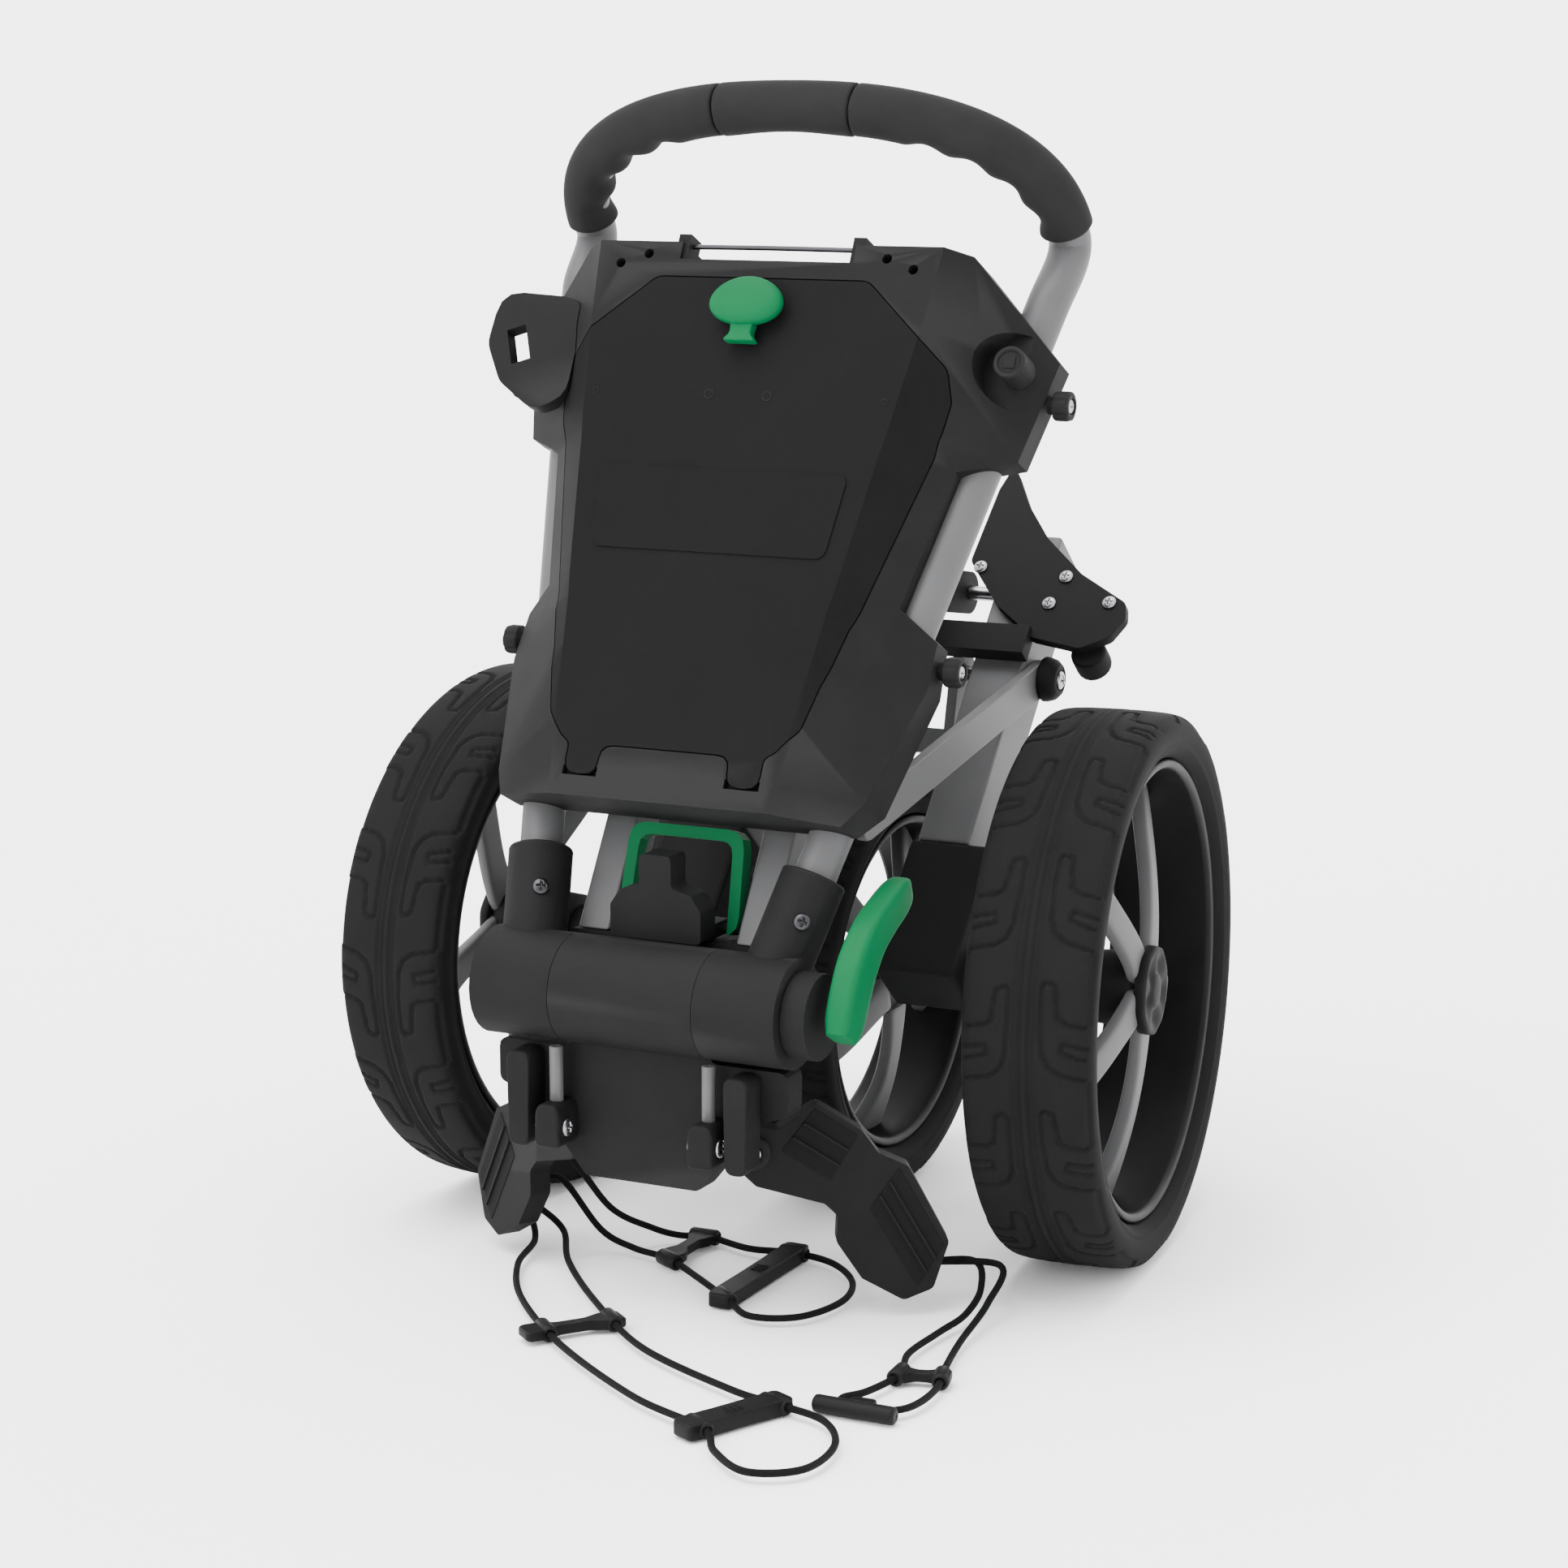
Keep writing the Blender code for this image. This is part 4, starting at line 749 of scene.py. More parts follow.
    def _spoke(self, number: int, seat: float, body: str) -> None:
        """One spoke: a flat bar that bows outwards and splays where it meets the rim."""
        angle = self.spoke_phase + 2 * math.pi * number / self.spokes
        radial = np.array((math.cos(angle), math.sin(angle), 0.0))
        side = np.array((-math.sin(angle), math.cos(angle), 0.0))
        t = np.linspace(0, 1, 26)
        r = 0.015 + (seat - 0.0035 - 0.015) * t
        sway = 0.010 * np.sin(math.pi * t) * t
        depth = self.width * (0.30 - 0.34 * t**1.6)
        path = self.frame.at(r[:, None] * radial + sway[:, None] * side + depth[:, None] * np.array((0, 0, 1.0)))
        half = 0.0078 + 0.0055 * t**3 + 0.003 * (1 - t) ** 3
        thick = 0.0034 + 0.0015 * t
        a = np.linspace(0, 2 * math.pi, 24, endpoint=False)[None, :]
        flat = np.sign(np.cos(a)) * np.abs(np.cos(a)) ** 0.45 * half[:, None]
        high = np.sign(np.sin(a)) * np.abs(np.sin(a)) ** 0.45 * thick[:, None]
        grid = sweep_grid(path, np.stack((flat, high), axis=-1), self.frame.z)
        obj = skin(f"rim_{self.side}_spoke_{number + 1}", grid)
        self.shop.dress(obj, "rim_plastic", body)

    def hub(self) -> None:
        """The hub: a charcoal boss, a dark ribbed ring and a plain domed cap."""
        body = self.shop.body(f"rim_{self.side}")
        end = self.width * 0.325
        boss = turned(f"rim_{self.side}_boss", self.frame, [(-self.width * 0.38, 0.0068), (-self.width * 0.38, 0.0185),
                      (0, 0.0195), (end - 0.004, 0.0215), (end - 0.001, 0.020), (end - 0.001, 0.0068)], 64)
        self.shop.dress(boss, "charcoal_plastic", body, "rim_plastic")
        if self.side == "front":
            return
        seat = self.frame.moved((0, 0, end + 0.0003))
        petals = 5
        a = np.linspace(0, 2 * math.pi, 120, endpoint=False)[None, :]
        r = np.array((1.0, 1.0, 0.985, 0.93, 0.86, 0.70, 0.52, 0.40, 0.36, 0.2, 0.02))[:, None]
        z = np.array((0.0, 0.0042, 0.0054, 0.0060, 0.0058, 0.0048, 0.0046, 0.0052, 0.0062, 0.0068, 0.0070))[:, None]
        z = z + 0.0009 * np.cos(petals * a) * np.clip((0.9 - r) / 0.2, 0, 1) * np.clip((r - 0.38) / 0.1, 0, 1)
        radius = 0.0235 * r * (1 + 0.012 * np.cos(petals * 2 * a) * (r > 0.9))
        grid = np.stack((radius * np.cos(a), radius * np.sin(a), z + 0 * a), axis=-1)
        cap = skin(f"hub_cap_{self.side}_face", seat.at(grid))
        self.shop.dress(cap, "charcoal_plastic", body, "charcoal_plastic", [f"hub_cap_{self.side}"])


def wheels(shop: Workshop) -> list[Wheel]:
    """The cart's three wheels."""
    found = []
    for side, sign in (("right", 1), ("left", -1)):
        axle = np.array((sign * math.cos(REAR_TOE), math.sin(REAR_TOE), 0.0))
        frame = make_frame3((sign * REAR_HALF_TRACK, AXLE_Y, REAR_RADIUS), axle, (0, 0, 1))
        found.append(Wheel(side, frame, REAR_RADIUS, REAR_WIDTH, 14, math.pi, shop=shop))
    front = make_frame3((0, AXLE_Y + 0.068, FRONT_RADIUS), (1, 0, 0), (0, 0, 1))
    found.append(Wheel("front", front, FRONT_RADIUS, FRONT_WIDTH, 12, math.pi, shop=shop))
    return found


# --- Handle ---------------------------------------------------------------------


@dataclass
class Handle:
    """The bent handle tube with its three scalloped grips and its sleeves."""

    shop: Workshop
    tube_radius: float = 0.011
    grip_radius: float = 0.0137
    foot: tuple[float, float, float] = (0.0646, AXLE_Y - 0.194, 0.166)
    slope: tuple[float, float, float] = (0.2125, 0.557, 1.0)
    start: float = 0.020
    bend: float = 0.390
    loop_foot: tuple[float, float, float] = (0.0, AXLE_Y + 0.013, 0.535)
    loop_up: tuple[float, float, float] = (0.0, -0.5623, 0.8269)
    loop_half: float = 0.1385
    loop_rise: float = 0.0783
    loop_power: float = 2.4
    seam: float = 0.0385
    grip_start: float = 0.005

    def build(self) -> None:
        """Make the tube, the grips and the sleeves' details."""
        self.tube()
        self.grips()
        for side in ("left", "right"):
            self.shop.round_edges(f"handle_joint_{side}", 0.0022, segments=4)
        self.sleeve_details()

    def _loop(self) -> Array:
        """The loop's centre line: a leaning superellipse from right to left."""
        angle = np.linspace(0, math.pi, 721)
        c, s = np.cos(angle), np.clip(np.sin(angle), 0, 1)
        x = self.loop_half * np.sign(c) * np.abs(c) ** (2 / self.loop_power)
        rise = self.loop_rise * s ** (2 / self.loop_power)
        return np.array(self.loop_foot) + x[:, None] * np.array((1, 0, 0)) + rise[:, None] * np.array(self.loop_up)

    def _leg(self) -> Array:
        """The right leg's centre line, from its sleeve round the bend to the loop."""
        way = unit(self.slope)
        low, high = (np.array(self.foot) + way * d for d in (self.start, self.bend))
        end, up = self._loop()[0], unit(self.loop_up)
        reach = np.linalg.norm(end - high) / 3
        a, b = high + way * reach, end - up * reach
        t = np.linspace(0, 1, 24)[1:, None]
        bend = high * (1 - t) ** 3 + a * 3 * t * (1 - t) ** 2 + b * 3 * t**2 * (1 - t) + end * t**3
        straight = low + (high - low) * np.linspace(0, 1, 20)[:, None]
        return np.concatenate((straight, bend))

    def tube(self) -> None:
        """The tube, carried along both legs and the loop."""
        leg = self._leg()
        loop = resampled(self._loop(), 120)
        path = np.concatenate((leg[:-1], loop, (leg * (-1, 1, 1))[::-1][1:]))
        tangent = unit(np.gradient(path, axis=0))
        s = unit(np.cross(tangent, np.broadcast_to(np.array((0.0, -0.80, -0.60)), tangent.shape)) + 1e-9)
        u = np.cross(tangent, s)
        ring = circle(self.tube_radius, 32)
        grid = path[:, None] + ring[..., :1] * s[:, None] + ring[..., 1:] * u[:, None]
        obj = skin("handle_tube_bent", grid)
        self.shop.dress(obj, "grey_tube", "handle", "", ["handle_tube"])

    def grips(self) -> None:
        """The grips: round outside, with finger scallops on the loop's inner side."""
        loop = resampled(self._loop(), 1200)
        total = length_of(loop)
        seam = total / 2 - self.seam
        runs = {
            "grip_right": (self.grip_start, seam - 0.0005),
            "grip_middle": (seam + 0.0005, total - seam - 0.0005),
            "grip_left": (total - seam + 0.0005, total - self.grip_start),
        }
        for name, (low, high) in runs.items():
            first, last = (round(d / total * 1199) for d in (low, high))
            path = resampled(loop[first : last + 1], 150 if name != "grip_middle" else 70)
            obj = skin(f"{name}_scalloped", self._grip_grid(name, path))
            self.shop.dress(obj, "grip_foam", "handle", "", [name])

    def _grip_grid(self, name: str, path: Array) -> Array:
        """Rings whose radius falls in scallops on the inner side and at the ends."""
        normal = np.cross(np.array((1.0, 0, 0)), unit(self.loop_up))
        t = np.linspace(0, 1, len(path))
        angle = np.linspace(0, 2 * math.pi, 48, endpoint=False)
        tangent = unit(np.gradient(path, axis=0))
        out = np.cross(normal, tangent)
        middle = np.array(self.loop_foot) + unit(self.loop_up) * 0.03
        out = out * np.sign(((path - middle) * out).sum(axis=1))[:, None]
        inner = np.clip(-np.cos(angle), 0, 1)[None, :] ** 1.3
        if name == "grip_middle":
            wave = 0.30 + 0.25 * np.cos(2 * math.pi * (t - 0.5))
        else:
            place = t if name == "grip_right" else 1 - t
            fingers = np.clip(place / 0.80, 0, 1) * 4
            wave = 0.5 - 0.5 * np.cos(2 * math.pi * fingers)
            wave = np.where(place < 0.80, wave, 0.22 * np.sin(math.pi * (place - 0.80) / 0.20 / 2))
        end = np.minimum(t, 1 - t) * length_of(path)
        soft = np.clip(1 - end / 0.0012, 0, 1) ** 2
        radius = self.grip_radius - 0.0010 * soft[:, None] - 0.0036 * wave[:, None] * inner
        radius = radius + 0.0006 * inner
        grid = path[:, None] + (radius * np.cos(angle))[..., None] * out[:, None]
        return grid + (radius * np.sin(angle))[..., None] * normal

    def sleeve_details(self) -> None:
        """A screw in each sleeve and a collar at its mouth."""
        way = unit(self.slope)
        for sign, side in ((1, "right"), (-1, "left")):
            mirror = np.array((sign, 1, 1))
            mouth = (np.array(self.foot) + way * 0.0615) * mirror
            axis = way * mirror
            rim = turned(f"sleeve_rim_{side}", make_frame3(mouth, axis, (1, 0, 0)), [(0.0070, 0.0114), (0.0070, 0.0160),
                         (0.0080, 0.0166), (0.0092, 0.0160), (0.0096, 0.0140), (0.0092, 0.0114)], 48)
            self.shop.dress(rim, "charcoal_plastic", "handle")
            out = unit(np.array((0.62 * sign if side == "right" else 0.55, -0.78, 0.30)))
            out = unit(out - axis * np.dot(out, axis))
            seat = mouth - axis * 0.016 + out * 0.0160
            screw = screw_head(f"sleeve_screw_{side}", make_frame3(seat, out, axis), 0.0042)
            self.shop.dress(screw, "dark_steel", "handle", "bright_steel")


# --- Console --------------------------------------------------------------------


@dataclass
class Console:
    """The console tray, its lid with a blank badge, its latch, ear and knobs."""

    shop: Workshop

    def build(self) -> None:
        """Make the console's pieces."""
        self.shop.round_edges("console", 0.0018)
        self.shop.round_edges("lid", 0.0007, segments=2)
        self.shop.round_edges("accessory_ear", 0.0016)
        self.shop.round_edges("accessory_post", 0.0010)
        self.badge()
        self.latch()
        self.clip()
        self.post()
        self.knobs()

    def badge(self) -> None:
        """A blank raised plate on the lid, and the lid's small marks."""
        outline = rounded_outline([(-0.066, 0.131), (0.066, 0.131), (0.0705, 0.1755), (-0.0705, 0.1755)], 0.006)
        plate = slab("lid_badge", CONSOLE.moved((0, 0, 0.00005)), outline, 0.0007, 0.00035)
        self.shop.dress(plate, "lid_plastic", "lid")
        for i, (x, s, r) in enumerate(((-0.082, 0.215, 0.0017), (0.082, 0.215, 0.0017), (-0.0165, 0.2155, 0.0026),
                                       (0.0165, 0.2155, 0.0026))):
            frame = CONSOLE.moved((x, s, -0.0004))
            ring = turned(f"lid_mark_{i + 1}", frame, [(0, r * 0.75), (0, r), (0.0007, r), (0.0007, r * 0.85),
                          (0.0002, r * 0.75)], 28)
            self.shop.dress(ring, "dark_plastic", "lid", "lid_plastic")

    def latch(self) -> None:
        """The green turn latch: a domed oval with a short flared tail."""
        a = np.linspace(0, 2 * math.pi, 72, endpoint=False)[None, :]
        r = np.array((0.36, 0.36, 0.75, 0.97, 1.0, 0.985, 0.93, 0.82, 0.62, 0.36, 0.04))[:, None]
        z = np.array((0.0003, 0.0040, 0.0042, 0.0050, 0.0068, 0.0086, 0.0100, 0.0112, 0.0120, 0.0124, 0.0125))[:, None]
        x = 0.0207 * r * np.cos(a)
        s = 0.0132 * r * np.sin(a) * (1 + 0.10 * np.sin(a))
        frame = CONSOLE.moved((-0.002, 0.2625, 0))
        knob = skin("latch_knob_oval", frame.at(np.stack((x, s, z + 0 * a), axis=-1)))
        self.shop.dress(knob, "green_plastic", "latch", "", ["latch_knob"])
        outline = rounded_outline([(-0.0068, -0.009), (-0.0058, -0.0165), (-0.0098, -0.0205), (0.0098, -0.0205),
                                   (0.0058, -0.0165), (0.0068, -0.009)], 0.0028)
        tail = slab("latch_tail", frame.moved((0, 0, 0.0022)), outline, 0.0062, 0.0012)
        self.shop.dress(tail, "green_plastic", "latch")

    def clip(self) -> None:
        """The spring wire across the console's top notch, with its turned-in ends."""
        low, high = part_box("clip_wire")
        y, z = (low.y + high.y) / 2, (low.z + high.z) / 2
        points = [(low.x, y, z), (low.x * 0.98, y, z), (0, y, z + 0.0002), (high.x * 0.98, y, z), (high.x, y, z)]
        path = resampled(curve_through(points, 10), 40)
        obj = skin("clip_wire_round", sweep_grid(path, circle(0.0013, 16), (0, 0, 1)))
        self.shop.dress(obj, "dark_steel", "handle", "bright_steel", ["clip_wire"])

    def post(self) -> None:
        """The accessory post's dark square socket and rim."""
        frame = CONSOLE.moved((0.136, 0.246, -0.012 - 0.024 + 0.0003 + 0.016))
        ring = turned("post_rim", frame, [(-0.002, 0.0060), (-0.002, 0.0084), (0.0005, 0.0084), (0.0012, 0.0076),
                      (0.0005, 0.0060)], 40)
        self.shop.dress(ring, "charcoal_plastic", "handle")
        corners = [(-0.0032, -0.0032), (0.0032, -0.0032), (0.0032, 0.0032), (-0.0032, 0.0032)]
        outline = rounded_outline(corners, 0.0006, 4)
        socket = slab("post_socket", frame.moved((0, 0, 0.0001)), outline, 0.0004, 0.0001)
        self.shop.dress(socket, "dark_plastic", "handle", "charcoal_plastic")

    def knobs(self) -> None:
        """The four side clamp knobs, each with a fluted head and a screw."""
        for level in ("upper", "lower"):
            for side, sign in (("left", -1), ("right", 1)):
                name = f"clamp_knob_{level}_{side}"
                low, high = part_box(name)
                centre = (np.array(low) + np.array(high)) / 2
                base = np.array((low.x if sign > 0 else high.x, centre[1], centre[2]))
                frame = make_frame3(base, (sign, 0, 0), (0, 0, 1))
                a = np.linspace(0, 2 * math.pi, 96, endpoint=False)[None, :]
                r = np.array((0.60, 0.60, 0.95, 1.0, 1.0, 0.95, 0.80, 0.55, 0.52, 0.03))[:, None]
                z = np.array((0.0, 0.0034, 0.0036, 0.0046, 0.0104, 0.0116, 0.0121, 0.0121, 0.0106, 0.0106))[:, None]
                flute = 1 - 0.07 * np.clip(np.cos(6 * a), 0, 1) ** 2 * (r > 0.9)
                grid = np.stack((0.0077 * r * flute * np.cos(a), 0.0077 * r * flute * np.sin(a), z + 0 * a), axis=-1)
                self.shop.dress(skin(f"{name}_fluted", frame.at(grid)), "charcoal_plastic", "handle", "", [name])
                screw = screw_head(f"{name}_screw", frame.moved((0, 0, 0.0102)), 0.0036)
                self.shop.dress(screw, "bright_steel", "handle")


# --- Frame, legs, fork --------------------------------------------------------------


HORN_SCREWS = ((0.0957, 0.169), (0.0904, 0.151), (0.1251, 0.154), (0.0435, 0.172))  # across, along the leg


@dataclass
class Chassis:
    """The knuckle, rails, legs, brackets and fork, with their screws and ribs."""

    shop: Workshop

    def build(self) -> None:
        """Round the edges of the structural solids and add their details."""
        for node, width in {
            "centre_knuckle": 0.0024, "fold_bracket": 0.0018, "lock_block": 0.0016, "frame_rail_left": 0.0016,
            "frame_rail_right": 0.0016, "leg_tube_left": 0.0016,
            "leg_tube_right": 0.0016, "axle_housing_left": 0.0014, "axle_housing_right": 0.0014,
            "lower_bag_bracket": 0.0012, "side_link_left": 0.0008, "side_link_right": 0.0008, "front_fork": 0.0010,
            "bumper_left": 0.0020, "bumper_right": 0.0020, "bag_wing_left": 0.0010, "bag_wing_right": 0.0010,
            "hinge_bolt": 0.0030,
        }.items():
            finish = "charcoal_plastic" if node == "hinge_bolt" else ""
            self.shop.round_edges(node, width, finish)
        for pin in ("fold_pin", "fork_pin"):
            self.shop.round_edges(pin, 0.0006)
        self.pivot_caps()
        self.tie_rods()
        self.bracket_screws()
        self.wing_pads()

    def pivot_caps(self) -> None:
        """The domed caps on the link pivots, each with a screw."""
        for side, sign in (("left", -1), ("right", 1)):
            name = f"pivot_cap_{side}"
            low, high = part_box(name)
            centre = (np.array(low) + np.array(high)) / 2
            base = np.array((low.x if sign > 0 else high.x, centre[1], centre[2]))
            frame = make_frame3(base, (sign, 0, 0), (0, 0, 1))
            cap = turned(f"{name}_dome", frame, [(0, 0.0045), (0, 0.0120), (0.0008, 0.0125), (0.0030, 0.0124),
                         (0.0068, 0.0112), (0.0093, 0.0088), (0.0100, 0.0068), (0.0092, 0.0060), (0.0088, 0.0002),
                         (0.0060, 0.0002), (0.0050, 0.0045)], 64)
            self.shop.dress(cap, "charcoal_plastic", "rear_frame", "", [name])
            screw = screw_head(f"{name}_screw", frame.moved((0, 0, 0.0084)), 0.0050)
            self.shop.dress(screw, "bright_steel", "rear_frame")

    def tie_rods(self) -> None:
        """The grey tie rods, each in a dark clevis with a bolt, beside an arm of the knuckle."""
        front = BARREL[1]
        for side, sign in (("left", -1), ("right", 1)):
            frame = make_frame3((sign * 0.043, front - 0.0135, 0.1075), (0, 0, 1), (1, 0, 0))
            rod = turned(f"tie_rod_{side}_bar", frame, [(0, 0.0002), (0, 0.0030), (0.0005, 0.0035), (0.0305, 0.0035),
                         (0.0310, 0.0030), (0.0310, 0.0002)], 28)
            self.shop.dress(rod, "grey_tube", "frame", "", [f"tie_rod_{side}"])
            outline = rounded_outline([(-0.0070, -0.0120), (0.0070, -0.0120), (0.0070, 0.0060), (0.0045, 0.0105),
                                       (-0.0045, 0.0105), (-0.0070, 0.0060)], 0.0030)
            upright = Frame3(np.array((sign * 0.043, front - 0.0045, 0.1)), np.array((1.0, 0, 0)),
                             np.array((0, 0, 1.0)), np.array((0, -1.0, 0)))
            clevis = slab(f"tie_rod_{side}_clevis", upright, outline, 0.0200, 0.0018)
            self.shop.dress(clevis, "charcoal_plastic", "frame", "grey_tube")
            for way in (-1, 1):
                seat = make_frame3((sign * 0.043 + way * 0.0068, front - 0.0165, 0.098), (way, 0, 0), (0, 0, 1))
                bolt = screw_head(f"tie_rod_{side}_bolt_{'in' if way * sign < 0 else 'out'}", seat, 0.0046)
                self.shop.dress(bolt, "bright_steel", "frame")
            arm = rounded_outline([(-0.0058, -0.0140), (0.0058, -0.0140), (0.0066, 0.0355), (-0.0066, 0.0355)], 0.0050)
            beside = upright.moved((sign * 0.0180, 0, 0))
            self.shop.dress(slab(f"knuckle_arm_{side}", beside, arm, 0.0170, 0.0020), "charcoal_plastic", "frame")

    def bracket_screws(self) -> None:
        """The screws that hold the lower bag bracket's horns to the legs."""
        along = np.array((0, 0.6511, 0.7590))
        out = np.array((0, -0.7590, 0.6511))
        leg = Frame3(np.array((0, 0.04975, 0.199)), np.array((1.0, 0, 0)), along, out)
        for sign, side in ((1, "right"), (-1, "left")):
            for i, (x, u) in enumerate(HORN_SCREWS):
                seat = leg.moved((sign * x, u, 0.0242))
                head = screw_head(f"horn_screw_{side}_{i + 1}", seat, 0.0039)
                self.shop.dress(head, "bright_steel", "rear_frame")

    def wing_pads(self) -> None:
        """The ribbed rubber pads of the bag wings, with their pivot screws."""
        pads = (
            ((0.0105, 0.0130), (0.0395, 0.0160), (0.0360, 0.0430), (0.0100, 0.0405)),
            ((0.0640, 0.0170), (0.1090, 0.0000), (0.1060, 0.0250), (0.0630, 0.0425)),
        )
        for sign, side in ((1, "right"), (-1, "left")):
            frame = wing_frame(sign)
            for i, corners in enumerate(pads):
                self._pad(frame, f"{side}_{i + 1}", np.array(corners))
            seat = make_frame3(frame.at((0.0, 0.004, 0.0)), frame.z, frame.x)
            boss = turned(f"wing_boss_{side}", seat, [(-0.0005, 0.0002), (-0.0005, 0.0088), (0.0022, 0.0088),
                          (0.0034, 0.0080), (0.0034, 0.0045), (0.0028, 0.0040), (0.0028, 0.0002)], 48)
            self.shop.dress(boss, "charcoal_plastic", "frame")
            screw = screw_head(f"wing_screw_{side}", seat.moved((0, 0, 0.0027)), 0.0036)
            self.shop.dress(screw, "bright_steel", "frame")

    def _pad(self, frame: Frame3, name: str, corners: Array) -> None:
        """One dark pad inlaid in a wing's face, with two thin ribs along it."""
        outline = rounded_outline(corners, 0.0012, 4)
        pad = slab(f"wing_pad_{name}", frame.moved((0, 0, -0.0004)), outline, 0.0008, 0.0002)
        self.shop.dress(pad, "soft_rubber", "frame")
        low = corners[1] - corners[0]
        high = corners[2] - corners[3]
        for k in (1, 2):
            t = k / 3
            first = corners[0] * (1 - t) + corners[3] * t
            last = first + low * (1 - t) + high * t
            side = unit(np.array((-(last - first)[1], (last - first)[0]))) * 0.00065
            bar = rounded_outline([first - side, last - side, last + side, first + side], 0.0004, 3)
            rib = slab(f"wing_rib_{name}_{k}", frame.moved((0, 0, -0.0002)), bar, 0.0019, 0.0004)
            self.shop.dress(rib, "charcoal_plastic", "frame")


@dataclass
class GreenParts:
    """The clamp lever and the release bail."""

    shop: Workshop

    def build(self) -> None:
        """Make the lever and the bail."""
        self.shop.round_edges("release_bail", 0.0014)
        self.lever()

    def lever(self) -> None:
        """The lever: a rounded bar that narrows to a neck and curls back at its tip."""
        low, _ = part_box("clamp_lever")
        way = unit((0, 0.64, 0.768))
        side = np.array((0.0, -way[2], way[1]))
        origin = np.array((low.x + 0.0075, BARREL[1], BARREL[2]))
        frame = Frame3(origin, way, side, np.array((1.0, 0, 0)))
        points = [(-0.0100, -0.0010), (-0.0020, 0.0005), (0.0120, 0.0038), (0.0270, 0.0055), (0.0440, 0.0030),
                  (0.0600, -0.0040), (0.0740, -0.0120), (0.0825, -0.0175), (0.0850, -0.0190)]
        halves = [0.0085, 0.0112, 0.0120, 0.0118, 0.0108, 0.0100, 0.0092, 0.0065, 0.0014]
        thicks = [0.0058, 0.0072, 0.0074, 0.0074, 0.0072, 0.0070, 0.0066, 0.0050, 0.0012]
        shape = curve_through(np.column_stack((points, halves, thicks)), 10)
        path = frame.at(np.column_stack((shape[:, :2], np.zeros(len(shape)))))
        a = np.linspace(0, 2 * math.pi, 40, endpoint=False)[None, :]
        wide = np.sign(np.cos(a)) * np.abs(np.cos(a)) ** 0.42 * shape[:, 2:3]
        high = np.sign(np.sin(a)) * np.abs(np.sin(a)) ** 0.42 * shape[:, 3:4]
        grid = sweep_grid(path, np.stack((wide, high), axis=-1), (1, 0, 0))
        self.shop.dress(skin("clamp_lever_bar", grid), "green_plastic", "lever", "", ["clamp_lever"])


# --- Soft pieces ------------------------------------------------------------------


def wing_frame(sign: float) -> Frame3:
    """The frame of a bag wing's face: along, up and out."""
    along = unit((0.682, 0.379, -0.623))
    face = np.array((0.5, -0.866, 0.02))
    face = unit(face - along * np.dot(face, along))
    mirror = np.array((sign, 1, 1))
    return Frame3(np.array((sign * 0.050, AXLE_Y - 0.178, 0.084)), along * mirror, np.cross(face, along) * mirror,
                  face * mirror)


def behind_wing(sign: float, along: float, up: float, back: float) -> tuple[float, float, float]:
    """A point behind a bag wing, relative to the axle line."""
    point = wing_frame(sign).at((along, up, -0.012 - back)) - (0, AXLE_Y, 0)
    return tuple(point)


@dataclass(frozen=True)
class Moulding:
    """A moulded piece on a strap: its kind, its middle, its turn in degrees and its size."""

    kind: str
    centre: tuple[float, float]
    turn: float
    size: tuple[float, float]


@dataclass(frozen=True)
class Bungee:
    """One elastic loop: its route relative to the axle line, and the mouldings on it."""

    side: float
    route: tuple[tuple[float, float, float], ...]
    mouldings: dict[str, Moulding]


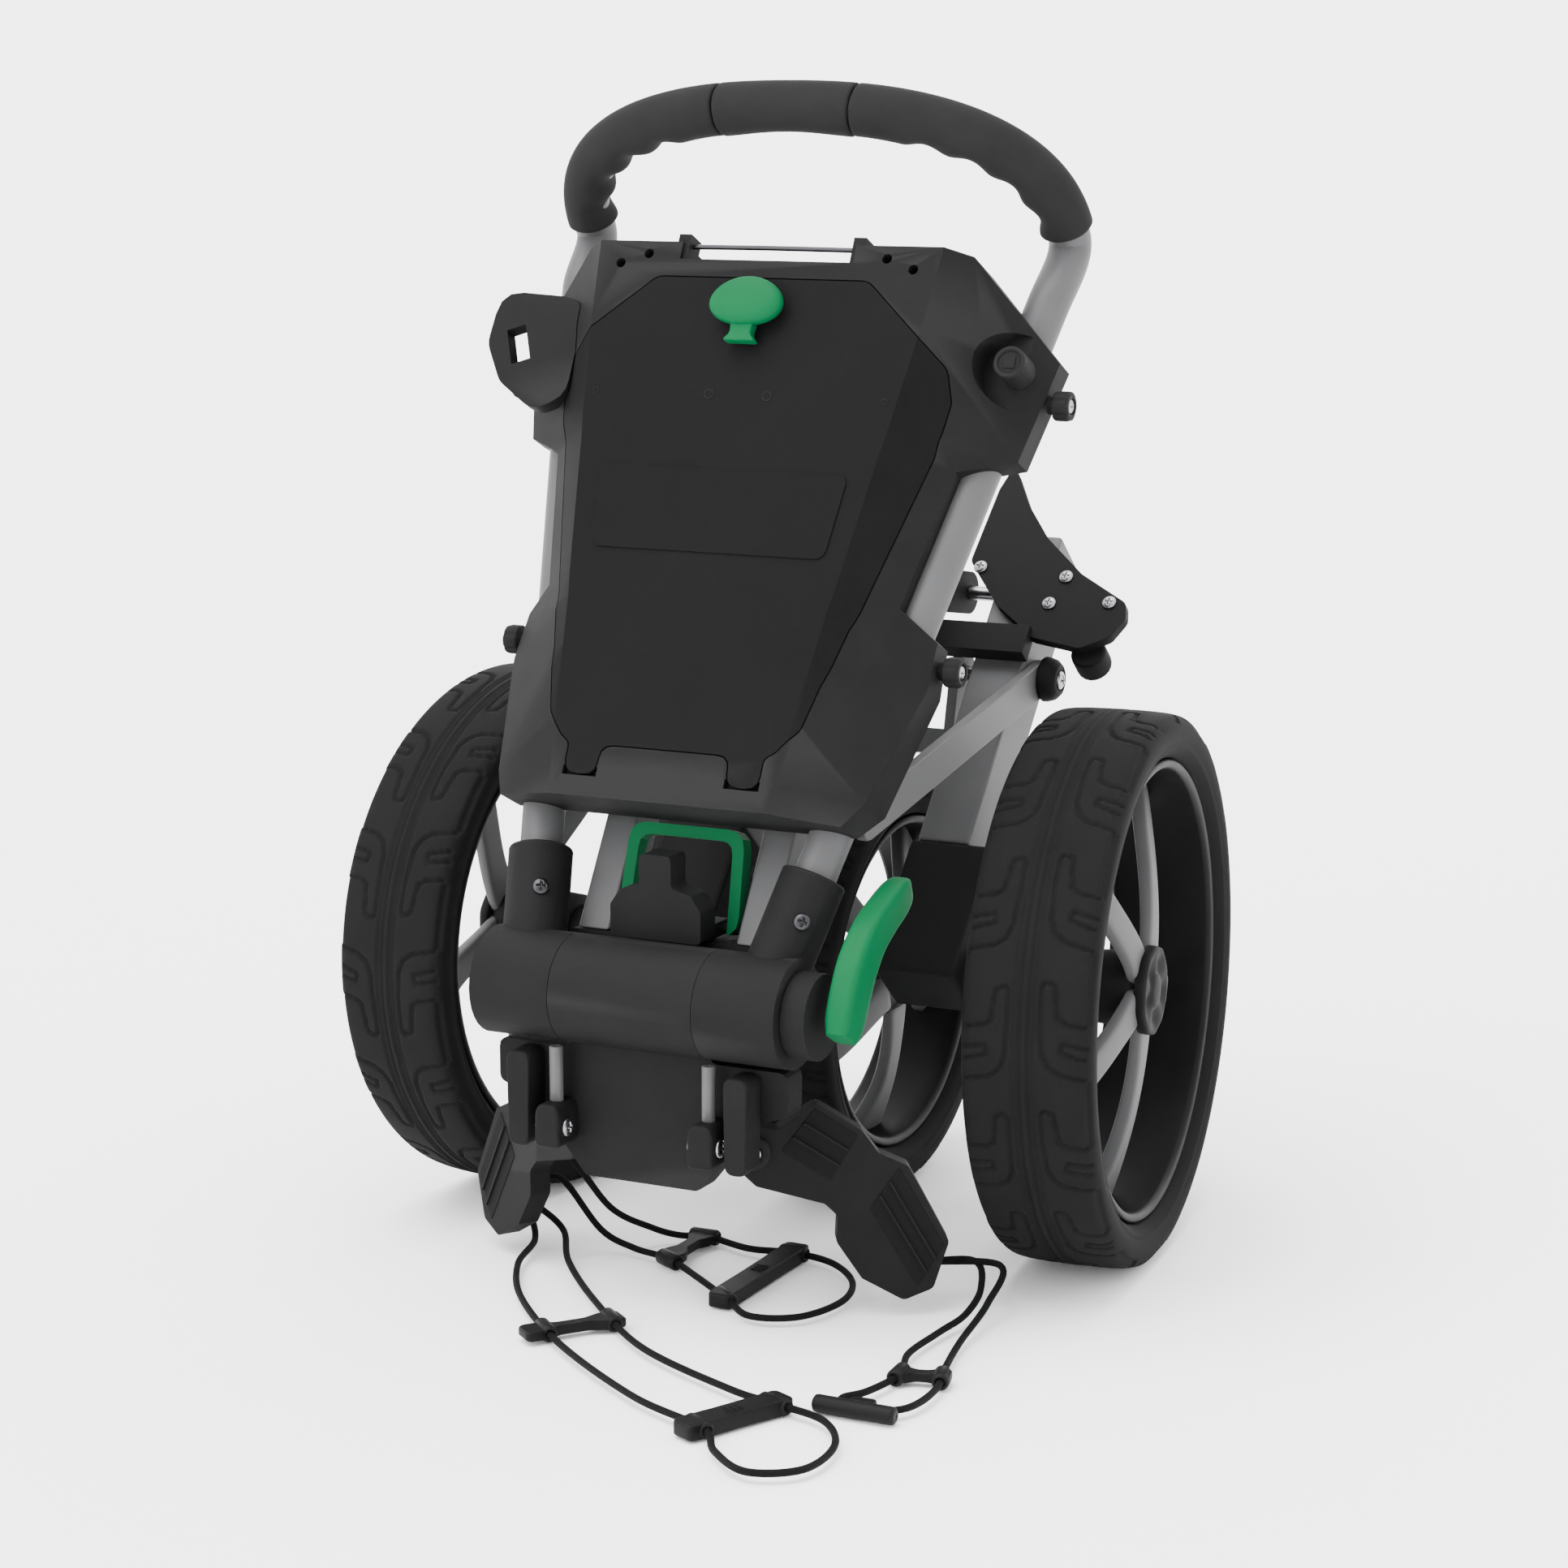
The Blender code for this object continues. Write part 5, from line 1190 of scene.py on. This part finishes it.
BUNGEES = {
    "bungee_upper": Bungee(-1, (
        behind_wing(-1, 0.054, 0.012, 0.001), behind_wing(-1, 0.052, 0.008, 0.012),
        (-0.0640, -0.1150, 0.0250), (-0.0500, -0.0950, 0.0100), (-0.0380, -0.0850, FLOOR),
        (-0.0250, -0.0800, FLOOR), (0.0050, -0.0890, FLOOR), (0.0300, -0.0850, FLOOR), (0.0560, -0.0920, FLOOR),
        (0.0780, -0.1150, FLOOR), (0.0860, -0.1450, FLOOR), (0.0770, -0.1750, FLOOR), (0.0540, -0.1850, FLOOR),
        (0.0330, -0.1680, FLOOR), (0.0050, -0.1450, FLOOR), (-0.0250, -0.1230, FLOOR), (-0.0500, -0.1150, FLOOR),
        (-0.0700, -0.1150, 0.0120), behind_wing(-1, 0.070, 0.002, 0.014), behind_wing(-1, 0.072, 0.004, 0.001),
    ), {
        "bridge_upper": Moulding("bridge", (-0.025, -0.1015), 0, (0.014, 0.052)),
        "buckle_upper": Moulding("buckle", (0.030, -0.126), 0, (0.013, 0.094)),
    }),
    "bungee_lower": Bungee(-1, (
        behind_wing(-1, 0.092, 0.000, 0.001), behind_wing(-1, 0.094, -0.004, 0.010),
        (-0.0900, -0.1200, 0.0100), (-0.0700, -0.1500, FLOOR), (-0.0260, -0.2000, FLOOR),
        (0.0280, -0.2500, FLOOR), (0.0920, -0.2820, FLOOR), (0.1200, -0.2900, FLOOR), (0.1500, -0.3000, FLOOR),
        (0.1680, -0.3260, FLOOR), (0.1680, -0.3580, FLOOR), (0.1460, -0.3720, FLOOR), (0.1220, -0.3560, FLOOR),
        (0.1040, -0.3330, FLOOR), (0.0560, -0.3110, FLOOR), (-0.0110, -0.2630, FLOOR), (-0.0640, -0.2100, FLOOR),
        (-0.0920, -0.1650, FLOOR), (-0.1020, -0.1300, 0.0060), behind_wing(-1, 0.108, -0.002, 0.010),
        behind_wing(-1, 0.106, 0.000, 0.001),
    ), {
        "bridge_lower": Moulding("bridge", (-0.018, -0.238), -38, (0.014, 0.062)),
        "buckle_lower": Moulding("buckle", (0.110, -0.313), -25, (0.014, 0.062)),
    }),
    "bungee_hook": Bungee(1, (
        behind_wing(1, 0.100, 0.000, 0.001), behind_wing(1, 0.104, 0.000, 0.014), (0.1400, -0.1030, 0.0220),
        (0.1520, -0.1200, 0.0140), (0.1530, -0.1420, 0.0070), (0.1490, -0.1650, FLOOR), (0.1480, -0.2000, FLOOR),
        (0.1560, -0.2280, FLOOR), (0.1520, -0.2560, FLOOR), (0.1450, -0.2690, FLOOR), (0.1500, -0.2790, FLOOR),
        (0.1620, -0.2800, FLOOR), (0.1780, -0.2680, FLOOR), (0.1800, -0.2400, FLOOR), (0.1720, -0.2100, FLOOR),
        (0.1640, -0.1740, FLOOR), (0.1620, -0.1350, 0.0120), (0.1580, -0.1100, 0.0240),
        behind_wing(1, 0.112, 0.006, 0.022), behind_wing(1, 0.090, 0.000, 0.014), behind_wing(1, 0.086, 0.000, 0.001),
    ), {
        "bridge_hook": Moulding("bridge", (0.167, -0.226), 105, (0.012, 0.036)),
        "hook_bar": Moulding("bar", (0.1570, -0.2810), 90, (0.012, 0.042)),
    }),
}


def spaced_route(route: Sequence[tuple[float, float, float]], spacing: float) -> Array:
    """A Catmull-Rom curve through a route of the cart, with points about a spacing apart.

    Args:
        route: points relative to the axle line.
        spacing: the distance between points.

    Returns:
        (n, 3) points in the cart's frame.
    """
    knots = [np.array(p, float) for p in route]
    knots = [knots[0] * 2 - knots[1], *knots, knots[-1] * 2 - knots[-2]]
    found = []
    for i in range(1, len(knots) - 2):
        a, b, c, d = knots[i - 1 : i + 3]
        count = max(1, round(float(np.linalg.norm(c - b)) / spacing))
        t = (np.arange(count) / count)[:, None]
        found.append(0.5 * (2 * b + (c - a) * t + (2 * a - 5 * b + 4 * c - d) * t**2 + (3 * b - a - 3 * c + d) * t**3))
    return np.concatenate((*found, knots[-2][None])) + (0, AXLE_Y, 0)


def carried_frames(path: Array) -> tuple[Array, Array]:
    """Axes across a path that turn as little as they can from point to point."""
    tangent = unit(np.gradient(path, axis=0))
    s = np.empty_like(path)
    s[0] = unit(np.cross(tangent[0], (0.3, 0.2, 1.0)))
    for i in range(1, len(path)):
        s[i] = unit(s[i - 1] - tangent[i] * np.dot(s[i - 1], tangent[i]))
    return s, np.cross(tangent, s)


@dataclass
class Straps:
    """The elastic bungees with their mouldings, and the storage net."""

    shop: Workshop

    def build(self) -> None:
        """Make the bungees, then the net."""
        for name, bungee in BUNGEES.items():
            self.strap(name, bungee)
        self.net()

    def strap(self, name: str, bungee: Bungee) -> None:
        """An elastic cord along its route, with its mouldings.

        Args:
            name: the CAD node of the cord.
            bungee: its route and mouldings.
        """
        path = spaced_route(bungee.route, 0.003)
        s, u = carried_frames(path)
        ring = circle(CORD_RADIUS, 12)
        grid = path[:, None] + ring[..., :1] * s[:, None] + ring[..., 1:] * u[:, None]
        cord = self._with_uv(skin(f"{name}_cord", grid), path)
        self.shop.dress(cord, "black_elastic", "frame", "", [name])
        pieces = [self.moulding(node, moulding, path) for node, moulding in bungee.mouldings.items()]

    @staticmethod
    def _with_uv(obj: bpy.types.Object, path: Array) -> bpy.types.Object:
        """Lay UV coordinates along and round a cord, in steps of its braid."""
        mesh = obj.data
        points = np.zeros(len(mesh.vertices) * 3)
        mesh.vertices.foreach_get("co", points)
        points = points.reshape(-1, 3)
        near = np.linalg.norm(points[:, None] - path[None], axis=2).argmin(axis=1)
        run = np.concatenate(([0], np.cumsum(np.linalg.norm(np.diff(path, axis=0), axis=1))))
        s, u = carried_frames(path)
        away = points - path[near]
        angle = np.arctan2((away * u[near]).sum(axis=1), (away * s[near]).sum(axis=1))
        corner = np.zeros(len(mesh.loops), np.int64)
        mesh.loops.foreach_get("vertex_index", corner)
        uv = np.stack((run[near] / 0.0011, angle / (2 * math.pi) * 8), axis=-1)[corner]
        layer = mesh.uv_layers.new(name="along")
        layer.data.foreach_set("uv", uv.reshape(-1).astype(np.float32))
        return obj

    def moulding(self, node: str, moulding: Moulding, path: Array) -> list[bpy.types.Object]:
        """A bridge, buckle or bar, with a sleeve round each strand that passes it.

        Args:
            node: the CAD node that it stands for.
            moulding: its kind and place.
            path: the cord's points.

        Returns:
            Its pieces.
        """
        turn = math.radians(moulding.turn)
        x_axis = np.array((math.cos(turn), math.sin(turn), 0.0))
        y_axis = np.array((-math.sin(turn), math.cos(turn), 0.0))
        origin = np.array((moulding.centre[0], moulding.centre[1] + AXLE_Y, FLOOR + 0.0002))
        frame = Frame3(origin, x_axis, y_axis, np.array((0, 0, 1.0)))
        width, length = moulding.size
        finish = "dark_plastic"
        slot = self.shop.slots[node]
        if moulding.kind == "bar":
            line = make_frame3(origin - y_axis * length / 2, y_axis, (0, 0, 1))
            bar = turned(f"{node}_round", line, [(0, 0.0002), (0, 0.0030), (0.0008, 0.0041), (0.0020, 0.0044),
                         (length - 0.0020, 0.0044), (length - 0.0008, 0.0041), (length, 0.0030), (length, 0.0002)], 36)
            made = [self.shop.dress(bar, finish, "frame", slot, [node])]
            tab = rounded_outline([(-0.0010, -0.0090), (0.0125, -0.0060), (0.0125, 0.0060), (-0.0010, 0.0090)], 0.002)
            hook = slab(f"{node}_tab", frame.moved((0, 0, -0.0030)), tab, 0.0050, 0.0012)
            return [*made, self.shop.dress(hook, finish, "frame", slot)]
        wide, waist = width / 2, (width / 2 if moulding.kind == "buckle" else width * 0.26)
        half = length / 2 - (0.0 if moulding.kind == "buckle" else 0.004)
        outline = rounded_outline([(-wide, -half), (wide, -half), (wide, -half * 0.62), (waist, -half * 0.40),
                                   (waist, half * 0.40), (wide, half * 0.62), (wide, half), (-wide, half),
                                   (-wide, half * 0.62), (-waist, half * 0.40), (-waist, -half * 0.40),
                                   (-wide, -half * 0.62)], 0.0030)
        tall = 0.0078 if moulding.kind == "buckle" else 0.0050
        web = slab(f"{node}_web", frame.moved((0, 0, -tall / 2)), outline, tall, 0.0014)
        made = [self.shop.dress(web, finish, "frame", slot, [node])]
        local = (path - origin) @ np.stack((x_axis, y_axis, frame.z)).T
        close = (np.abs(local[:, 0]) < width * 0.55) & (np.abs(local[:, 1]) < length * 0.6)
        for k, part in enumerate((close & (local[:, 1] < 0), close & (local[:, 1] >= 0))):
            if not part.any():
                continue
            run = path[part]
            middle, way = run.mean(axis=0), unit(run[-1] - run[0])
            reach = width / 2 + 0.0012
            sleeve = turned(f"{node}_sleeve_{k + 1}", make_frame3(middle - way * reach, way, (0, 0, 1)),
                            [(0, 0.0024), (0, 0.0036), (0.0012, 0.0043), (2 * reach - 0.0012, 0.0043),
                             (2 * reach, 0.0036), (2 * reach, 0.0024)], 28)
            made.append(self.shop.dress(sleeve, finish, "frame", slot))
        if moulding.kind == "buckle":
            for k in (-1, 0, 1):
                bar = rounded_outline([(-0.0034, -0.0006), (0.0034, -0.0006), (0.0034, 0.0006), (-0.0034, 0.0006)],
                                      0.0005, 3)
                ridge = slab(f"{node}_ridge_{k + 2}", frame.moved((0, k * 0.0032, tall / 2 - 0.0004)), bar, 0.0009,
                             0.0003)
                made.append(self.shop.dress(ridge, "charcoal_plastic", "frame", slot))
        return made

    def net(self) -> None:
        """The storage net: a thin sheet that bellies back a little between its edges."""
        rows, columns = 50, 90
        u = np.linspace(-1, 1, columns)[None, :]
        v = np.linspace(0, 1, rows)[:, None]
        half = 0.0838 + 0.0168 * v
        x, s = u * half, 0.0962 + (0.1838 - 0.0962) * v
        belly = 0.0006 * np.sin(math.pi * v) * (1 - u**2)
        top = np.stack((x, s + 0 * u, -0.0580 - belly), axis=-1)
        under = top - np.array((0, 0, 0.0012))
        points = np.concatenate((CONSOLE.at(top).reshape(-1, 3), CONSOLE.at(under).reshape(-1, 3)))
        sheet = grid_faces(rows, columns, False, False)
        rim = np.concatenate((
            np.arange(columns), np.arange(1, rows) * columns + columns - 1,
            (rows - 1) * columns + np.arange(columns - 2, -1, -1), np.arange(rows - 2, 0, -1) * columns,
        ))
        after = np.roll(rim, -1)
        count = rows * columns
        walls = np.column_stack((rim, after, after + count, rim + count))
        faces = np.concatenate((sheet, sheet[:, ::-1] + count, walls))
        flat = np.concatenate((top.reshape(-1, 3), top.reshape(-1, 3)))[:, :2] / 0.0042
        obj = build("storage_net_mesh", points, faces, flat[faces])
        self.shop.dress(obj, "black_net", "handle", "", ["storage_net"])


# --- Stage --------------------------------------------------------------------------


def stage() -> None:
    """The camera, a plain pale floor and soft studio lights."""
    place = Vector((0.8371, -1.7390 + AXLE_Y, 0.4650 + 0.146))
    look = Vector((-0.43325, 0.88125, -0.18892))
    camera = bpy.data.cameras.new("camera")
    camera.lens = 83.46
    camera.sensor_width = 36.0
    holder = bpy.data.objects.new("camera", camera)
    holder.matrix_world = Matrix.Translation(place) @ look.to_track_quat("-Z", "Y").to_matrix().to_4x4()
    bpy.context.scene.collection.objects.link(holder)
    bpy.context.scene.camera = holder

    turn = np.linspace(0, math.pi / 2, 25)
    section = np.concatenate(([[-60.0, 0.0]], np.stack((12 + 14 * np.sin(turn), 14 - 14 * np.cos(turn)), axis=-1),
                              [[26.0, 60.0]]))
    points = np.array([(x, y, z - 0.0005) for x in (-60.0, 0.0, 60.0) for y, z in section])
    mesh = bpy.data.meshes.new("floor")
    mesh.from_pydata(points, [], grid_faces(3, len(section), False, False)[:, ::-1])
    mesh.polygons.foreach_set("use_smooth", np.ones(len(mesh.polygons), bool))
    floor = mesh_object("floor", mesh)
    pale = bpy.data.materials.new("pale_floor")
    pale.use_nodes = True
    shader = pale.node_tree.nodes["Principled BSDF"]
    shader.inputs["Base Color"].default_value = (0.97, 0.97, 0.97, 1)
    shader.inputs["Roughness"].default_value = 0.95
    shader.inputs["Specular IOR Level"].default_value = 0.1
    floor.data.materials.append(pale)
    floor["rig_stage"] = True

    world = bpy.data.worlds.new("studio")
    world.use_nodes = True
    sky = world.node_tree.nodes["Background"]
    sky.inputs["Color"].default_value = (1, 1, 1, 1)
    sky.inputs["Strength"].default_value = 2.6
    bpy.context.scene.world = world
    for name, spot, energy in (("overhead", (-0.5, -0.6, 3.0), 5.0), ("front", (-1.6, -3.0, 1.6), 2.4)):
        lamp = bpy.data.lights.new(name, "SUN")
        lamp.energy = energy
        lamp.angle = math.radians(50)
        light = bpy.data.objects.new(name, lamp)
        way = -Vector(spot)
        light.matrix_world = Matrix.Translation(spot) @ way.to_track_quat("-Z", "Y").to_matrix().to_4x4()
        bpy.context.scene.collection.objects.link(light)


def main() -> None:
    """Dress the whole cart."""
    logging.basicConfig(level=logging.INFO, format="%(message)s")
    shop = Workshop()
    stage()
    for wheel in wheels(shop):
        wheel.build()
    for part in (Handle(shop), Console(shop), Chassis(shop), GreenParts(shop), Straps(shop)):
        part.build()


if __name__ == "__main__":
    main()
